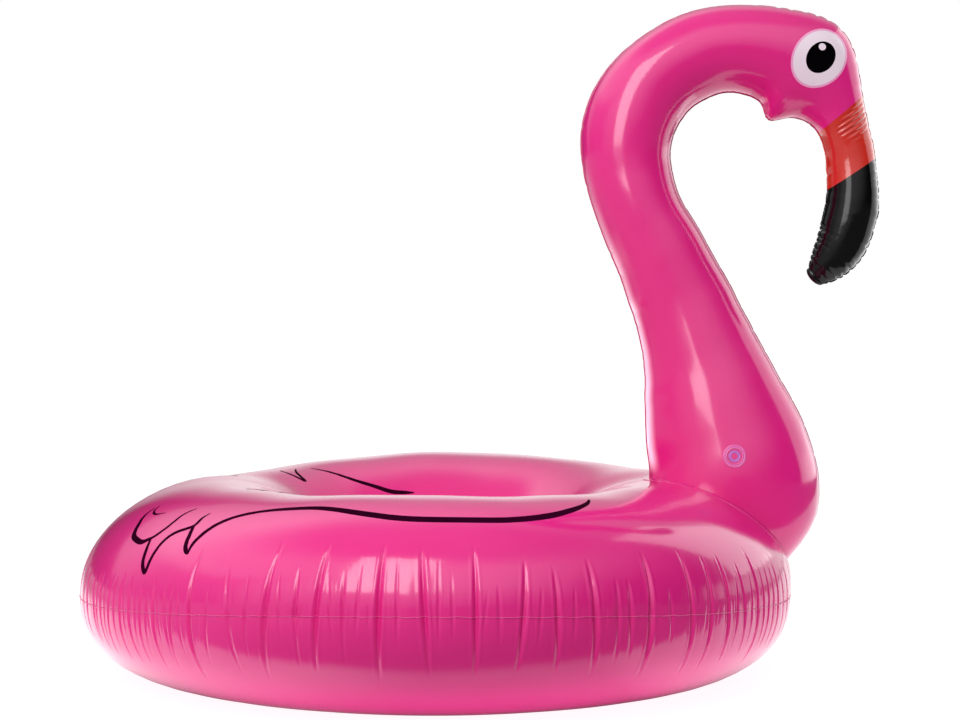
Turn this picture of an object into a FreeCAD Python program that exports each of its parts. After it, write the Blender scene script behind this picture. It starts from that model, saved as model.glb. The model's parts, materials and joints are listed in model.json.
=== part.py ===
# Inflatable flamingo pool ring: its welded film panels, printed eyes and two air valves.
# Origin at the ring's centre on the floor plane, +X towards the head, +Y the bird's left, +Z up.
# All lengths are in millimetres.
import FreeCAD, Part
import math
import os
import re
import Sketcher

Vector = FreeCAD.Vector
Placement = FreeCAD.Placement
Rotation = FreeCAD.Rotation

DIMS = {
    # film and welds
    "film_thick": 0.5,
    "fin_height": 3.0,
    "lap_gap": 0.05,
    # ring: an oval tube swept about Z
    "ring_mid_radius": 353.0,
    "tube_half_width": 187.0,
    "tube_half_height": 147.0,
    "tube_centre_height": 145.0,
    "seam_lip": 2.0,
    "weld_thick": 1.0,
    "weld_clear": 0.05,
    # neck foot; the offsets are measured outwards from the ring's tube
    "foot_seat_offset": 0.3,
    "foot_strip_offset": 0.9,
    "foot_top_offset": 35.0,
    "foot_band_width": 12.0,
    "foot_band_clear": 1.5,
    "foot_band_bottom": 150.5,
    "foot_weld_clear": 1.0,
    # eye discs
    "eye_x": 588.0,
    "eye_height": 938.5,
    "eye_half_long": 43.6,
    "eye_half_wide": 41.0,
    "pupil_half_long": 25.5,
    "pupil_half_wide": 22.8,
    "glint_half_long": 6.4,
    "glint_half_wide": 6.2,
    "glint_x": 591.0,
    "glint_height": 955.8,
    # ring valve's place in degrees: round the ring from +X, and the angle parameter of the
    # tube's ellipse from its outer edge upwards
    "ring_valve_bearing": 118.0,
    "ring_valve_rise": 46.0,
    # neck valve's place on the right side
    "neck_valve_x": 447.0,
    "neck_valve_height": 333.0,
    # valve
    "valve_flange_radius": 17.5,
    "valve_well_radius": 12.5,
    "valve_wall": 0.6,
    "stem_outer_radius": 6.5,
    "stem_bore_radius": 4.5,
    "stem_collar_radius": 8.5,
    "stopper_head_radius": 9.0,
    "stopper_shank_radius": 4.45,
    "stopper_dish_radius": 5.6,
    "flap_radius": 6.2,
    "tether_width": 3.6,
}

# Neck stations from the foot to the beak tip:
# x, z, half width in the bird's plane of symmetry, half thickness across it.
STATIONS = [
    (436.0, 150.0, 92.0, 78.0),
    (446.0, 190.0, 112.0, 92.0),
    (453.0, 232.0, 126.0, 102.0),
    (457.0, 272.0, 131.5, 106.5),
    (454.0, 312.0, 127.5, 105.5),
    (445.5, 350.0, 118.0, 100.5),
    (435.0, 388.0, 110.5, 97.0),
    (423.0, 430.0, 101.5, 91.0),
    (410.5, 471.0, 92.5, 85.5),
    (397.2, 511.0, 85.0, 80.5),
    (379.5, 557.0, 78.5, 76.0),
    (359.0, 603.0, 74.0, 72.5),
    (336.5, 649.0, 70.8, 69.6),
    (313.5, 697.0, 67.5, 66.5),
    (296.0, 745.0, 67.0, 66.0),
    (289.0, 796.0, 68.8, 67.6),
    (297.0, 849.0, 70.4, 69.0),
    (322.5, 894.0, 68.8, 67.6),
    (360.5, 926.5, 67.2, 66.0),
    (405.0, 947.5, 66.8, 65.5),
    (451.0, 955.7, 68.0, 66.0),
    (495.0, 951.5, 71.5, 66.5),
    (532.5, 940.5, 75.6, 65.5),
    (560.5, 925.5, 77.0, 62.5),
    (583.0, 905.5, 70.0, 57.5),
    (600.0, 881.0, 57.5, 50.5),
    (613.5, 852.0, 45.5, 42.5),
    (626.5, 815.0, 39.0, 37.6),
    (636.0, 775.0, 38.4, 37.2),
    (640.0, 734.0, 40.4, 38.8),
    (637.5, 693.0, 41.2, 39.2),
    (627.0, 659.0, 38.6, 35.5),
    (609.0, 630.5, 31.5, 27.0),
    (592.0, 611.5, 20.0, 16.0),
    (581.0, 601.5, 8.5, 6.5),
]
BEAK_TIP = len(STATIONS) - 1
STRIP_LAST = 12  # last station of the lofts that shape the foot's welded strip

# Printed eye layers: inner and outer offset from the head, aliases of the outline's x, height,
# long and wide half axes, and the long axis's backward lean from vertical in degrees.
EYE_LAYERS = {
    "white": (0.05, 0.30, "eye_x", "eye_height", "eye_half_long", "eye_half_wide", 20.0),
    "pupil": (0.35, 0.55, "eye_x", "eye_height", "pupil_half_long", "pupil_half_wide", 5.0),
    "glint": (0.60, 0.75, "glint_x", "glint_height", "glint_half_long", "glint_half_wide", 0.0),
}
EYE_PRISM_LENGTH = 120.0
EYE_PRISM_START = {"left": 10.0, "right": -130.0}  # lower y end of each side's prism

# Valve pieces in the valve's frame: z is 0 on the film and grows outwards.
# Cylinders: radius, inner end, outer end.
VALVE_CYLINDERS = {
    "hole": ("valve_well_radius", -20.0, 20.0),
    "barrel": ("stem_outer_radius", -24.0, -1.6),
    "collar": ("stem_collar_radius", -9.2, -7.6),
    "bore": ("stem_bore_radius", -30.0, 5.0),
    "stopper_head": ("stopper_head_radius", -1.5, 0.6),
    "stopper_shank": ("stopper_shank_radius", -11.0, -1.0),
    "stopper_dish": ("stopper_dish_radius", -0.5, 3.0),
    "stopper_core": ("stopper_shank_radius - 1.2", -12.0, -2.6),
    "flap_disc": ("flap_radius", -24.7, -24.1),
}
# Round tubes: outer radius, inner radius, inner end, outer end.
VALVE_TUBES = {
    "flange_disc": ("valve_flange_radius", "valve_well_radius", 0.35, 1.15),
    "skirt_wall": ("valve_well_radius - 0.1", "valve_well_radius - 0.1 - valve_wall", -9.0, 0.7),
    "skirt_web": ("valve_well_radius - 0.3", "stem_collar_radius + 0.1", -9.0, -8.2),
    "tether_loop": ("stem_outer_radius + 1.7", "stem_outer_radius + 0.1", -4.2, -3.2),
}
# Straight tether pieces: start and end in x, then in z.
VALVE_STRAPS = {
    "tether_tongue": (7.8, 11.0, -4.2, -3.2),
    "tether_riser": (10.1, 11.0, -4.2, -0.2),
    "tether_link": (9.1, 11.0, -1.2, -0.2),
}

SLAB_WIDTH = 1400.0  # horizontal slabs, centred on Z
REACH = 1200.0       # upright slabs, along X and Z from the origin
HALF_DEPTH = 300.0   # thickness of the slab that picks one side of the bird

# ---- document and sheet -------------------------------------------------------------------------
doc = FreeCAD.newDocument("flamingo_ring")
sheet = doc.addObject("Spreadsheet::Sheet", "Dimensions")
sheet_aliases = []
parts = []


def cell(alias, value):
    sheet_aliases.append(alias)
    address = "A%d" % len(sheet_aliases)
    sheet.set(address, repr(round(float(value), 6)))
    sheet.setAlias(address, alias)


def dim(alias):
    return float(sheet.get(alias))


def bind(obj, path, text):
    """Drive a property by an expression in which every word is a sheet alias."""
    obj.setExpression(path, re.sub(r"\b[a-z]\w+", r"Dimensions.\g<0>", text))


def keep(obj, label):
    """Label an object and export it as a piece."""
    obj.Label = label
    parts.append(obj)
    return obj


for dimension, size in DIMS.items():
    cell(dimension, size)
for i, station in enumerate(STATIONS):
    for column, size in zip("xzwh", station):
        cell("neck_%s_%02d" % (column, i), size)
doc.recompute()


# ---- shape helpers ------------------------------------------------------------------------------
def boolean(kind, name, base, tool):
    obj = doc.addObject("Part::" + kind, name)
    obj.Refine = False
    obj.Base, obj.Tool = base, tool
    return obj


def cut(name, base, tool):
    return boolean("Cut", name, base, tool)


def common(name, base, tool):
    return boolean("Common", name, base, tool)


def fuse(name, base, tool):
    return boolean("Fuse", name, base, tool)


def box(name, length, width, height, placement=Placement()):
    obj = doc.addObject("Part::Box", name)
    obj.Length, obj.Width, obj.Height = length, width, height
    obj.Placement = placement
    return obj


def slab(name, bottom, top):
    """Wide box between two heights, each given as an expression."""
    corner = Vector(-SLAB_WIDTH / 2, -SLAB_WIDTH / 2, 0)
    obj = box(name, SLAB_WIDTH, SLAB_WIDTH, SLAB_WIDTH, Placement(corner, Rotation()))
    bind(obj, "Placement.Base.z", bottom)
    bind(obj, "Height", "(%s) - (%s)" % (top, bottom))
    return obj


def ellipse(name, aliases, y, rotation, grow=0.0, shift_x=0.0, shift_z=0.0):
    """Ellipse from the aliases of its x, z, major and minor half axes; grow widens the axes."""
    x_alias, z_alias, major, minor = aliases
    obj = doc.addObject("Part::Ellipse", name)
    obj.MajorRadius = dim(major) + grow
    obj.MinorRadius = dim(minor) + grow
    obj.Placement = Placement(Vector(dim(x_alias), y, dim(z_alias)), rotation)
    bind(obj, "MajorRadius", "%s + %r" % (major, grow))
    bind(obj, "MinorRadius", "%s + %r" % (minor, grow))
    bind(obj, "Placement.Base.x", "%s + %r" % (x_alias, shift_x))
    bind(obj, "Placement.Base.z", "%s + %r" % (z_alias, shift_z))
    return obj


# ---- turned bodies of the ring ------------------------------------------------------------------
def section_body(name):
    """Body with an empty sketch on its YZ plane."""
    body = doc.addObject("PartDesign::Body", name)
    sketch = body.newObject("Sketcher::SketchObject", name + "_section")
    plane = next(f for f in body.Origin.OriginFeatures if f.Role == "YZ_Plane")
    sketch.AttachmentSupport = [(plane, "")]
    sketch.MapMode = "FlatFace"
    return body, sketch


def constrain(sketch, name, text, *definition):
    """Add a named constraint and bind it to the sheet."""
    index = sketch.addConstraint(Sketcher.Constraint(*definition))
    sketch.renameConstraint(index, name)
    bind(sketch, "Constraints." + name, text)


def turn(body, sketch):
    """Revolve the sketch a full turn about Z."""
    revolution = body.newObject("PartDesign::Revolution", body.Name + "_turn")
    revolution.Profile = sketch
    revolution.ReferenceAxis = (sketch, ["V_Axis"])
    revolution.Angle = 360
    doc.recompute()
    return body


def tube_solid(name, grow):
    """The ring's tube as a solid, its oval section offset outwards by grow."""
    body, sketch = section_body(name)
    mid, height = dim("ring_mid_radius"), dim("tube_centre_height")
    across = dim("tube_half_width") + grow
    up = dim("tube_half_height") + grow
    oval = sketch.addGeometry(
        Part.Ellipse(
            Vector(mid + across, height, 0), Vector(mid, height + up, 0), Vector(mid, height, 0)
        ),
        False,
    )
    # the internal geometry adds the major axis line, then the minor axis line
    sketch.exposeInternalGeometry(oval)
    major, minor = oval + 1, oval + 2
    sketch.addConstraint(Sketcher.Constraint("Horizontal", major))
    constrain(sketch, "mid_radius", "ring_mid_radius", "DistanceX", -1, 1, oval, 3, mid)
    constrain(sketch, "centre_height", "tube_centre_height", "DistanceY", -1, 1, oval, 3, height)
    width_text = "2 * (tube_half_width + %r)" % grow
    height_text = "2 * (tube_half_height + %r)" % grow
    constrain(sketch, "full_width", width_text, "Distance", major, 2 * across)
    constrain(sketch, "full_height", height_text, "Distance", minor, 2 * up)
    return turn(body, sketch)


def weld_ring(name, inner, inner_text):
    """Flat welded edge standing on the ring's equator, as a turned rectangle."""
    body, sketch = section_body(name)
    lip, thick = dim("seam_lip"), dim("weld_thick")
    bottom = dim("tube_centre_height") - thick / 2
    corners = [
        Vector(inner, bottom, 0),
        Vector(inner + lip, bottom, 0),
        Vector(inner + lip, bottom + thick, 0),
        Vector(inner, bottom + thick, 0),
    ]
    for i in range(4):
        sketch.addGeometry(Part.LineSegment(corners[i], corners[(i + 1) % 4]), False)
    for i in range(4):
        sketch.addConstraint(Sketcher.Constraint("Coincident", i, 2, (i + 1) % 4, 1))
    for i in range(4):
        sketch.addConstraint(Sketcher.Constraint("Vertical" if i % 2 else "Horizontal", i))
    height_text = "tube_centre_height - weld_thick / 2"
    constrain(sketch, "inner_radius", inner_text, "DistanceX", -1, 1, 0, 1, inner)
    constrain(sketch, "lip", "seam_lip", "DistanceX", 0, 1, 0, 2, lip)
    constrain(sketch, "height", height_text, "DistanceY", -1, 1, 0, 1, bottom)
    constrain(sketch, "thick", "weld_thick", "DistanceY", 1, 1, 1, 2, thick)
    keep(turn(body, sketch), "ring_" + name)


def ring_welds():
    mid, half, clear = dim("ring_mid_radius"), dim("tube_half_width"), dim("weld_clear")
    weld_ring("outer_weld", mid + half + clear, "ring_mid_radius + tube_half_width + weld_clear")
    weld_ring(
        "inner_weld",
        mid - half - clear - dim("seam_lip"),
        "ring_mid_radius - tube_half_width - weld_clear - seam_lip",
    )


# ---- neck and head solids -----------------------------------------------------------------------
def neck_loft(name, grow, last=BEAK_TIP):
    """Loft along the neck's centre line, each half axis and the beak's end offset by grow."""
    sections = []
    for i in range(last + 1):
        before, after = STATIONS[max(0, i - 1)], STATIONS[min(BEAK_TIP, i + 1)]
        angle = math.atan2(after[0] - before[0], after[1] - before[1])
        ahead = grow if i == BEAK_TIP else 0.0
        # local x lies across the neck in the symmetry plane, local z runs along the neck
        section = ellipse(
            "%s_station_%02d" % (name, i),
            ["neck_%s_%02d" % (column, i) for column in "xzwh"],
            y=0.0,
            rotation=Rotation(Vector(0, 1, 0), math.degrees(angle)),
            grow=grow,
            shift_x=ahead * math.sin(angle),
            shift_z=ahead * math.cos(angle),
        )
        sections.append(section)
    loft = doc.addObject("Part::Loft", name)
    loft.Sections = sections
    loft.Solid, loft.Ruled, loft.Closed = True, False, False
    return loft


def tilted_box(name, x, z, slope_x, slope_z, back, ahead, depth):
    """Box below a sloping line through (x, z), from back behind the point to ahead of it."""
    width = 400.0
    along = Vector(slope_x, 0, slope_z)
    along.normalize()
    below = Vector(along.z, 0, -along.x)
    base = Vector(x, -width / 2, z) - along * back + below * depth
    angle = -math.degrees(math.atan2(along.z, along.x))
    placement = Placement(base, Rotation(Vector(0, 1, 0), angle))
    return box(name, back + ahead, width, depth, placement)


def fin_plate():
    """Welded fin, two films thick, in the plane of symmetry."""
    outline = neck_loft("neck_fin_outline", dim("fin_height"))
    plate = box("fin_slab", REACH, 2 * dim("film_thick"), REACH)
    bind(plate, "Width", "2 * film_thick")
    bind(plate, "Placement.Base.y", "-film_thick")
    return common("neck_fin_plate", outline, plate)


def side_slab(name, y_text):
    obj = box(name, REACH, HALF_DEPTH, REACH)
    bind(obj, "Placement.Base.y", y_text)
    return obj


tube_outer = tube_solid("tube_outer", 0.0)
tube_inner = tube_solid("tube_inner", -dim("film_thick"))
neck_outer = neck_loft("neck_outer", 0.0)
neck_inner = neck_loft("neck_inner", -dim("film_thick"))
neck_solid = fuse("neck_with_fin", neck_outer, fin_plate())

# offsets of the ring's tube: the foot's seat, the welded strip's top and the foot's upper limit
seat_tube = tube_solid("tube_seat", dim("foot_seat_offset"))
strip_tube = tube_solid("tube_strip", dim("foot_strip_offset"))
foot_tube = tube_solid("tube_foot", dim("foot_top_offset"))

halves = {
    "left": side_slab("left_side", "lap_gap / 2"),
    "right": side_slab("right_side", "%r - lap_gap / 2" % -HALF_DEPTH),
}
doc.recompute()


# ---- valve frames -------------------------------------------------------------------------------
def ring_valve_seat():
    """Point on the ring's tube and the outward normal there."""
    bearing = math.radians(dim("ring_valve_bearing"))
    rise = math.radians(dim("ring_valve_rise"))
    half_width, half_height = dim("tube_half_width"), dim("tube_half_height")
    radial = Vector(math.cos(bearing), math.sin(bearing), 0)
    point = radial * (dim("ring_mid_radius") + half_width * math.cos(rise))
    point.z = dim("tube_centre_height") + half_height * math.sin(rise)
    outward = radial * (math.cos(rise) / half_width)
    outward.z = math.sin(rise) / half_height
    outward.normalize()
    return point, outward


def neck_valve_seat():
    """First point where a ray from the bird's right meets the neck, and its outward normal."""
    start = Vector(dim("neck_valve_x"), -200.0, dim("neck_valve_height"))
    direction = Vector(0, 1, 0)
    ray = Part.makeLine(start, start + direction * 400.0)
    hits = []
    for face in neck_outer.Shape.Faces:
        distance, pairs, _ = face.distToShape(ray)
        if distance < 1e-6:
            hits += [(pair[0], face) for pair in pairs]
    point, face = min(hits, key=lambda hit: (hit[0] - start).Length)
    normal = face.normalAt(*face.Surface.parameter(point))
    if normal.dot(direction) > 0:
        normal = normal * -1.0
    return point, normal


def valve_frame(name, point, outward):
    """Record a valve's seat in the sheet; return its frame, z outwards and x up the film."""
    for axis in "xyz":
        cell("%s_at_%s" % (name, axis), getattr(point, axis))
        cell("%s_dir_%s" % (name, axis), getattr(outward, axis))
    up = Vector(0, 0, 1)
    x = up - outward * up.dot(outward)
    x.normalize()
    y = outward.cross(x)
    return Placement(FreeCAD.Matrix(
        x.x, y.x, outward.x, point.x,
        x.y, y.y, outward.y, point.y,
        x.z, y.z, outward.z, point.z,
        0, 0, 0, 1,
    ))


frames = {
    "ring_valve": valve_frame("ring_valve", *ring_valve_seat()),
    "neck_valve": valve_frame("neck_valve", *neck_valve_seat()),
}
doc.recompute()


def in_frame(valve, x, y, z):
    return frames[valve].multiply(Placement(Vector(x, y, z), Rotation()))


def axis_cylinder(name, valve, radius_text, start, end):
    """Cylinder on a valve's axis from start to end."""
    obj = doc.addObject("Part::Cylinder", name)
    obj.Height = end - start
    obj.Placement = in_frame(valve, 0, 0, start)
    bind(obj, "Radius", radius_text)
    return obj


def valve_cylinder(valve, piece):
    return axis_cylinder("%s_%s" % (valve, piece), valve, *VALVE_CYLINDERS[piece])


def valve_tube(valve, piece):
    name = "%s_%s" % (valve, piece)
    outer_text, inner_text, start, end = VALVE_TUBES[piece]
    outer = axis_cylinder(name + "_out", valve, outer_text, start, end)
    inner = axis_cylinder(name + "_in", valve, inner_text, start - 1.0, end + 1.0)
    return cut(name, outer, inner)


def valve_strap(valve, piece):
    x_start, x_end, z_start, z_end = VALVE_STRAPS[piece]
    width = dim("tether_width")
    placement = in_frame(valve, x_start, -width / 2, z_start)
    obj = box("%s_%s" % (valve, piece), x_end - x_start, width, z_end - z_start, placement)
    bind(obj, "Width", "tether_width")
    return obj


# ---- ring sheets --------------------------------------------------------------------------------
def ring_sheets():
    """Upper and lower film, flattened on the floor; the upper one has the valve's hole."""
    outside = common("ring_outside", tube_outer, slab("above_floor", "0", "600"))
    inside = common("ring_inside", tube_inner, slab("above_foot_film", "film_thick", "600"))
    film = cut("ring_film", outside, inside)
    upper_half = slab("upper_half", "tube_centre_height + lap_gap / 2", "600")
    lower_half = slab("lower_half", "-50", "tube_centre_height - lap_gap / 2")
    upper = common("ring_upper_raw", film, upper_half)
    keep(common("ring_lower_raw", film, lower_half), "ring_lower_sheet")
    hole = valve_cylinder("ring_valve", "hole")
    keep(cut("ring_upper_cut", upper, hole), "ring_upper_sheet")


# ---- neck, foot and beak panels -----------------------------------------------------------------
def half_film(name, side, solid, void):
    """One side's film: the solid's half less the void's half."""
    outside = common("%s_outside_%s" % (name, side), solid, halves[side])
    inside = common("%s_inside_%s" % (name, side), void, halves[side])
    return cut("%s_film_%s" % (name, side), outside, inside)


def foot_weld():
    """Welded strip lying on the ring round the neck's foot."""
    outer = neck_loft("strip_outer", dim("foot_band_width"), STRIP_LAST)
    inner = neck_loft("strip_inner", dim("foot_band_clear"), STRIP_LAST)
    block = common("strip_block", common("strip_core", outer, strip_tube),
                   slab("above_seam", "foot_band_bottom", "700"))
    skin = cut("strip_skin", block, seat_tube)
    return keep(cut("foot_strip", skin, inner), "neck_foot_weld")


def foot_panels(strip):
    """The feet stop above the ring's outer weld and clear the welded strip."""
    solid = cut("foot_solid", common("foot_block", neck_solid, foot_tube), seat_tube)
    void = cut("foot_void", common("foot_core", neck_inner, foot_tube), seat_tube)
    below_weld = slab("below_outer_weld", "-50", "tube_centre_height + foot_weld_clear")
    for side in halves:
        film = half_film("foot", side, solid, void)
        film = cut("foot_above_weld_" + side, film, below_weld)
        keep(cut("foot_clear_" + side, film, strip), "neck_foot_" + side)


def upper_panels():
    """Neck panels, then the beak's band and tip, split by two sloping lines."""
    upper = {
        "solid": cut("upper_solid", neck_solid, foot_tube),
        "void": cut("upper_void", neck_inner, foot_tube),
    }
    orange = tilted_box("orange_zone", x=624.4, z=855.8, slope_x=0.765, slope_z=0.645,
                        back=250.0, ahead=120.0, depth=420.0)
    black = tilted_box("black_zone", x=638.0, z=760.5, slope_x=0.832, slope_z=0.555,
                       back=200.0, ahead=120.0, depth=320.0)
    for side in halves:
        pink, band, tip = [], [], []
        for kind, body in upper.items():
            ending = "%s_%s" % (kind, side)
            pink.append(cut("pink_" + ending, body, orange))
            beak = common("beak_" + ending, body, orange)
            band.append(cut("band_" + ending, beak, black))
            tip.append(common("tip_" + ending, body, black))
        neck = half_film("pink", side, *pink)
        if side == "right":
            neck = cut("pink_holed_right", neck, valve_cylinder("neck_valve", "hole"))
        keep(neck, "neck_panel_" + side)
        keep(half_film("band", side, *band), "beak_band_" + side)
        keep(half_film("tip", side, *tip), "beak_tip_" + side)


# ---- eyes ---------------------------------------------------------------------------------------
def eye_prism(name, side, aliases, lean):
    """Elliptical prism along Y through one side of the head."""
    # outline in the XZ plane, its long axis turned from vertical by lean
    upright = Rotation(Vector(1, 0, 0), 90)
    rotation = upright.multiply(Rotation(Vector(0, 0, 1), 90.0 + lean))
    prism = doc.addObject("Part::Extrusion", name)
    prism.Base = ellipse(name + "_outline", aliases, EYE_PRISM_START[side], rotation)
    prism.DirMode = "Custom"
    prism.Dir = Vector(0, 1, 0)
    prism.LengthFwd = EYE_PRISM_LENGTH
    prism.Solid = True
    return prism


def eye_patches():
    """Thin layers of ink between two offsets of the head."""
    for layer, (inner, outer, *aliases, lean) in EYE_LAYERS.items():
        outside = neck_loft("eye_%s_layer_outside" % layer, outer)
        inside = neck_loft("eye_%s_layer_inside" % layer, inner)
        for side in halves:
            name = "eye_%s_%s" % (layer, side)
            prism = eye_prism("eye_%s_prism_%s" % (layer, side), side, aliases, lean)
            over = common(name + "_over", outside, prism)
            under = common(name + "_under", inside, prism)
            keep(cut(name, over, under), name)


# ---- valves -------------------------------------------------------------------------------------
def flange(valve):
    """Disc just outside the film."""
    keep(valve_tube(valve, "flange_disc"), valve + "_flange")


def skirt(valve):
    """Soft wall hung from the flange, with the web at its foot."""
    wall = valve_tube(valve, "skirt_wall")
    web = valve_tube(valve, "skirt_web")
    keep(fuse(valve + "_skirt_shape", wall, web), valve + "_skirt")


def stem(valve):
    """Barrel with its collar and through bore."""
    barrel = valve_cylinder(valve, "barrel")
    collar = valve_cylinder(valve, "collar")
    solid = fuse(valve + "_stem_solid", barrel, collar)
    keep(cut(valve + "_stem_shape", solid, valve_cylinder(valve, "bore")), valve + "_stem")


def stopper(valve):
    """Dished head on a hollow shank."""
    head = valve_cylinder(valve, "stopper_head")
    shank = valve_cylinder(valve, "stopper_shank")
    solid = fuse(valve + "_stopper_solid", head, shank)
    dished = cut(valve + "_stopper_hollow", solid, valve_cylinder(valve, "stopper_dish"))
    core = valve_cylinder(valve, "stopper_core")
    keep(cut(valve + "_stopper_shape", dished, core), valve + "_stopper")


def tether(valve):
    """Loop round the stem, tongue, riser and link to the stopper's edge."""
    shape = valve_tube(valve, "tether_loop")
    for ending, piece in (("c", "tongue"), ("a", "riser"), ("b", "link")):
        shape = fuse("%s_tether_%s" % (valve, ending), shape,
                     valve_strap(valve, "tether_" + piece))
    keep(shape, valve + "_tether")


def flap(valve):
    """Check flap under the stem's inner end."""
    keep(valve_cylinder(valve, "flap_disc"), valve + "_flap")


# ---- build, check and export --------------------------------------------------------------------
ring_welds()
ring_sheets()
foot_panels(foot_weld())
upper_panels()
eye_patches()
for valve_name in frames:
    for build in (flange, skirt, stem, stopper, tether, flap):
        build(valve_name)
doc.recompute()

problems = []
for obj in doc.Objects:
    if "Invalid" in obj.State or "Error" in obj.State:
        problems.append("%s %s" % (obj.Name, obj.State))
for part in parts:
    shape = part.Shape
    if shape.isNull() or not shape.isValid() or len(shape.Solids) != 1:
        problems.append("%s is not one valid solid" % part.Label)
if problems:
    raise RuntimeError("; ".join(problems))

os.makedirs("parts", exist_ok=True)
for part in parts:
    part.Shape.exportStep("parts/%s.step" % part.Label)
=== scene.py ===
# Inflatable swim ring shaped as a bird. The ring lies flat on the floor round the Z axis; the
# neck rises at its +X side, bends over towards +X and ends in a beak pointing down. The left
# half is at +Y, and the camera stands at -Y. Lengths are metres unless a table says mm.
import json
import math
from functools import partial

import bmesh
import bpy
import numpy as np
from mathutils import Matrix, Vector
from mathutils.bvhtree import BVHTree
from mathutils.kdtree import KDTree


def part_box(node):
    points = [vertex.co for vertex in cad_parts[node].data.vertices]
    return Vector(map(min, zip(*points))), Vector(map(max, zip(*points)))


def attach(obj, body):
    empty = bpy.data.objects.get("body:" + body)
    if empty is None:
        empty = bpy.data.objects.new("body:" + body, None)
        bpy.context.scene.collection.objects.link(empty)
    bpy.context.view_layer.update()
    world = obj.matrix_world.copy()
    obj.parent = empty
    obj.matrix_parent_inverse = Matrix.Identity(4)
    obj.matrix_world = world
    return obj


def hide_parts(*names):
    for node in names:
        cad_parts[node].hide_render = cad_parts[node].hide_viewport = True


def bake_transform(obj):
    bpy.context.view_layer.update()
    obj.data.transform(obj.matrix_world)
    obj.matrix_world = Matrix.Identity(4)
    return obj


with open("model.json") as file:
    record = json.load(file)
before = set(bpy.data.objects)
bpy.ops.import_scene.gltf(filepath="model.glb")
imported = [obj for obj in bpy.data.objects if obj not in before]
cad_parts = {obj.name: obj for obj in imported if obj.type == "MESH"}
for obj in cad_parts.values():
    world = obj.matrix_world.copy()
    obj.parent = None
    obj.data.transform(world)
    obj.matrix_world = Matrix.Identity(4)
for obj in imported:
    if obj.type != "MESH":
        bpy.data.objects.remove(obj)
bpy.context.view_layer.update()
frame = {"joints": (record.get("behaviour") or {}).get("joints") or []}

RNG = np.random.RandomState(7)
SIDES = ("left", "right")

# ------------------------------------------------------------ sizes from the frame
upper_low, upper_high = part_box("ring_upper_sheet")
inner_low, inner_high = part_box("ring_inner_weld")
CENTRE_X = (upper_low.x + upper_high.x) / 2
CENTRE_Y = (upper_low.y + upper_high.y) / 2
R_OUT = (upper_high.x - upper_low.x) / 2
R_IN = (inner_high.x - inner_low.x) / 2
R_MID = (R_OUT + R_IN) / 2
TUBE_HALF_WIDTH = (R_OUT - R_IN) / 2
SEAM_HEIGHT = upper_low.z
TUBE_RISE = upper_high.z - SEAM_HEIGHT
# the neck is drawn for a panel whose top is at 1.0255; it shifts with the real panel
NECK_SHIFT_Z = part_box("neck_panel_right")[1].z - 1.0255

# ------------------------------------------------------------ neck tables
# Stations of the neck's middle line, mm: length along the neck, x, z,
# half width at the back weld, half width at the front weld, mean half width
LOWER_NECK = [
    (0, 436.0, 150.0, 93.8, 93.8, 92.5), (20, 441.0, 169.4, 102.1, 102.1, 102.2),
    (40, 445.6, 188.8, 111.3, 111.3, 111.5), (60, 449.3, 208.5, 119.0, 119.0, 119.1),
    (80, 452.4, 228.2, 124.9, 124.8, 125.0), (100, 455.0, 248.1, 129.1, 128.8, 129.2),
    (120, 456.5, 268.0, 131.1, 131.0, 131.3), (140, 456.4, 288.0, 130.8, 130.2, 131.0),
    (160, 454.4, 307.9, 128.1, 126.6, 128.3), (180, 450.8, 327.6, 124.6, 122.7, 123.8),
    (200, 446.2, 347.0, 126.6, 119.8, 118.7), (220, 441.0, 366.3, 126.2, 116.0, 114.6),
    (240, 435.7, 385.6, 120.4, 112.5, 111.0), (260, 430.2, 404.9, 113.1, 108.0, 107.1),
    (280, 424.7, 424.1, 107.7, 103.4, 102.8), (300, 419.0, 443.3, 103.3, 99.9, 98.5),
    (320, 413.2, 462.4, 96.6, 95.5, 94.3), (340, 407.1, 481.4, 91.4, 91.4, 90.4),
    (360, 400.8, 500.4, 87.5, 88.3, 86.8), (380, 394.1, 519.3, 84.0, 84.6, 83.7),
    (400, 387.1, 538.0, 81.5, 81.2, 80.9), (420, 379.6, 556.5, 78.5, 79.7, 78.6),
    (440, 371.8, 574.9, 76.0, 77.0, 76.5), (460, 363.5, 593.2, 74.8, 74.8, 74.8),
    (480, 355.0, 611.3, 72.5, 73.6, 73.4), (500, 346.3, 629.2, 70.5, 72.7, 72.2),
    (520, 337.4, 647.2, 69.4, 71.5, 70.9), (540, 328.6, 665.1, 68.8, 69.5, 69.6),
    (560, 319.9, 683.1, 67.8, 67.2, 68.3), (580, 311.7, 701.4, 66.8, 66.3, 67.3),
    (600, 304.3, 720.0, 66.2, 66.5, 66.9), (620, 298.0, 739.0, 66.3, 66.7, 66.9),
    (640, 293.2, 758.4, 66.6, 66.7, 67.3),
]
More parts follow.
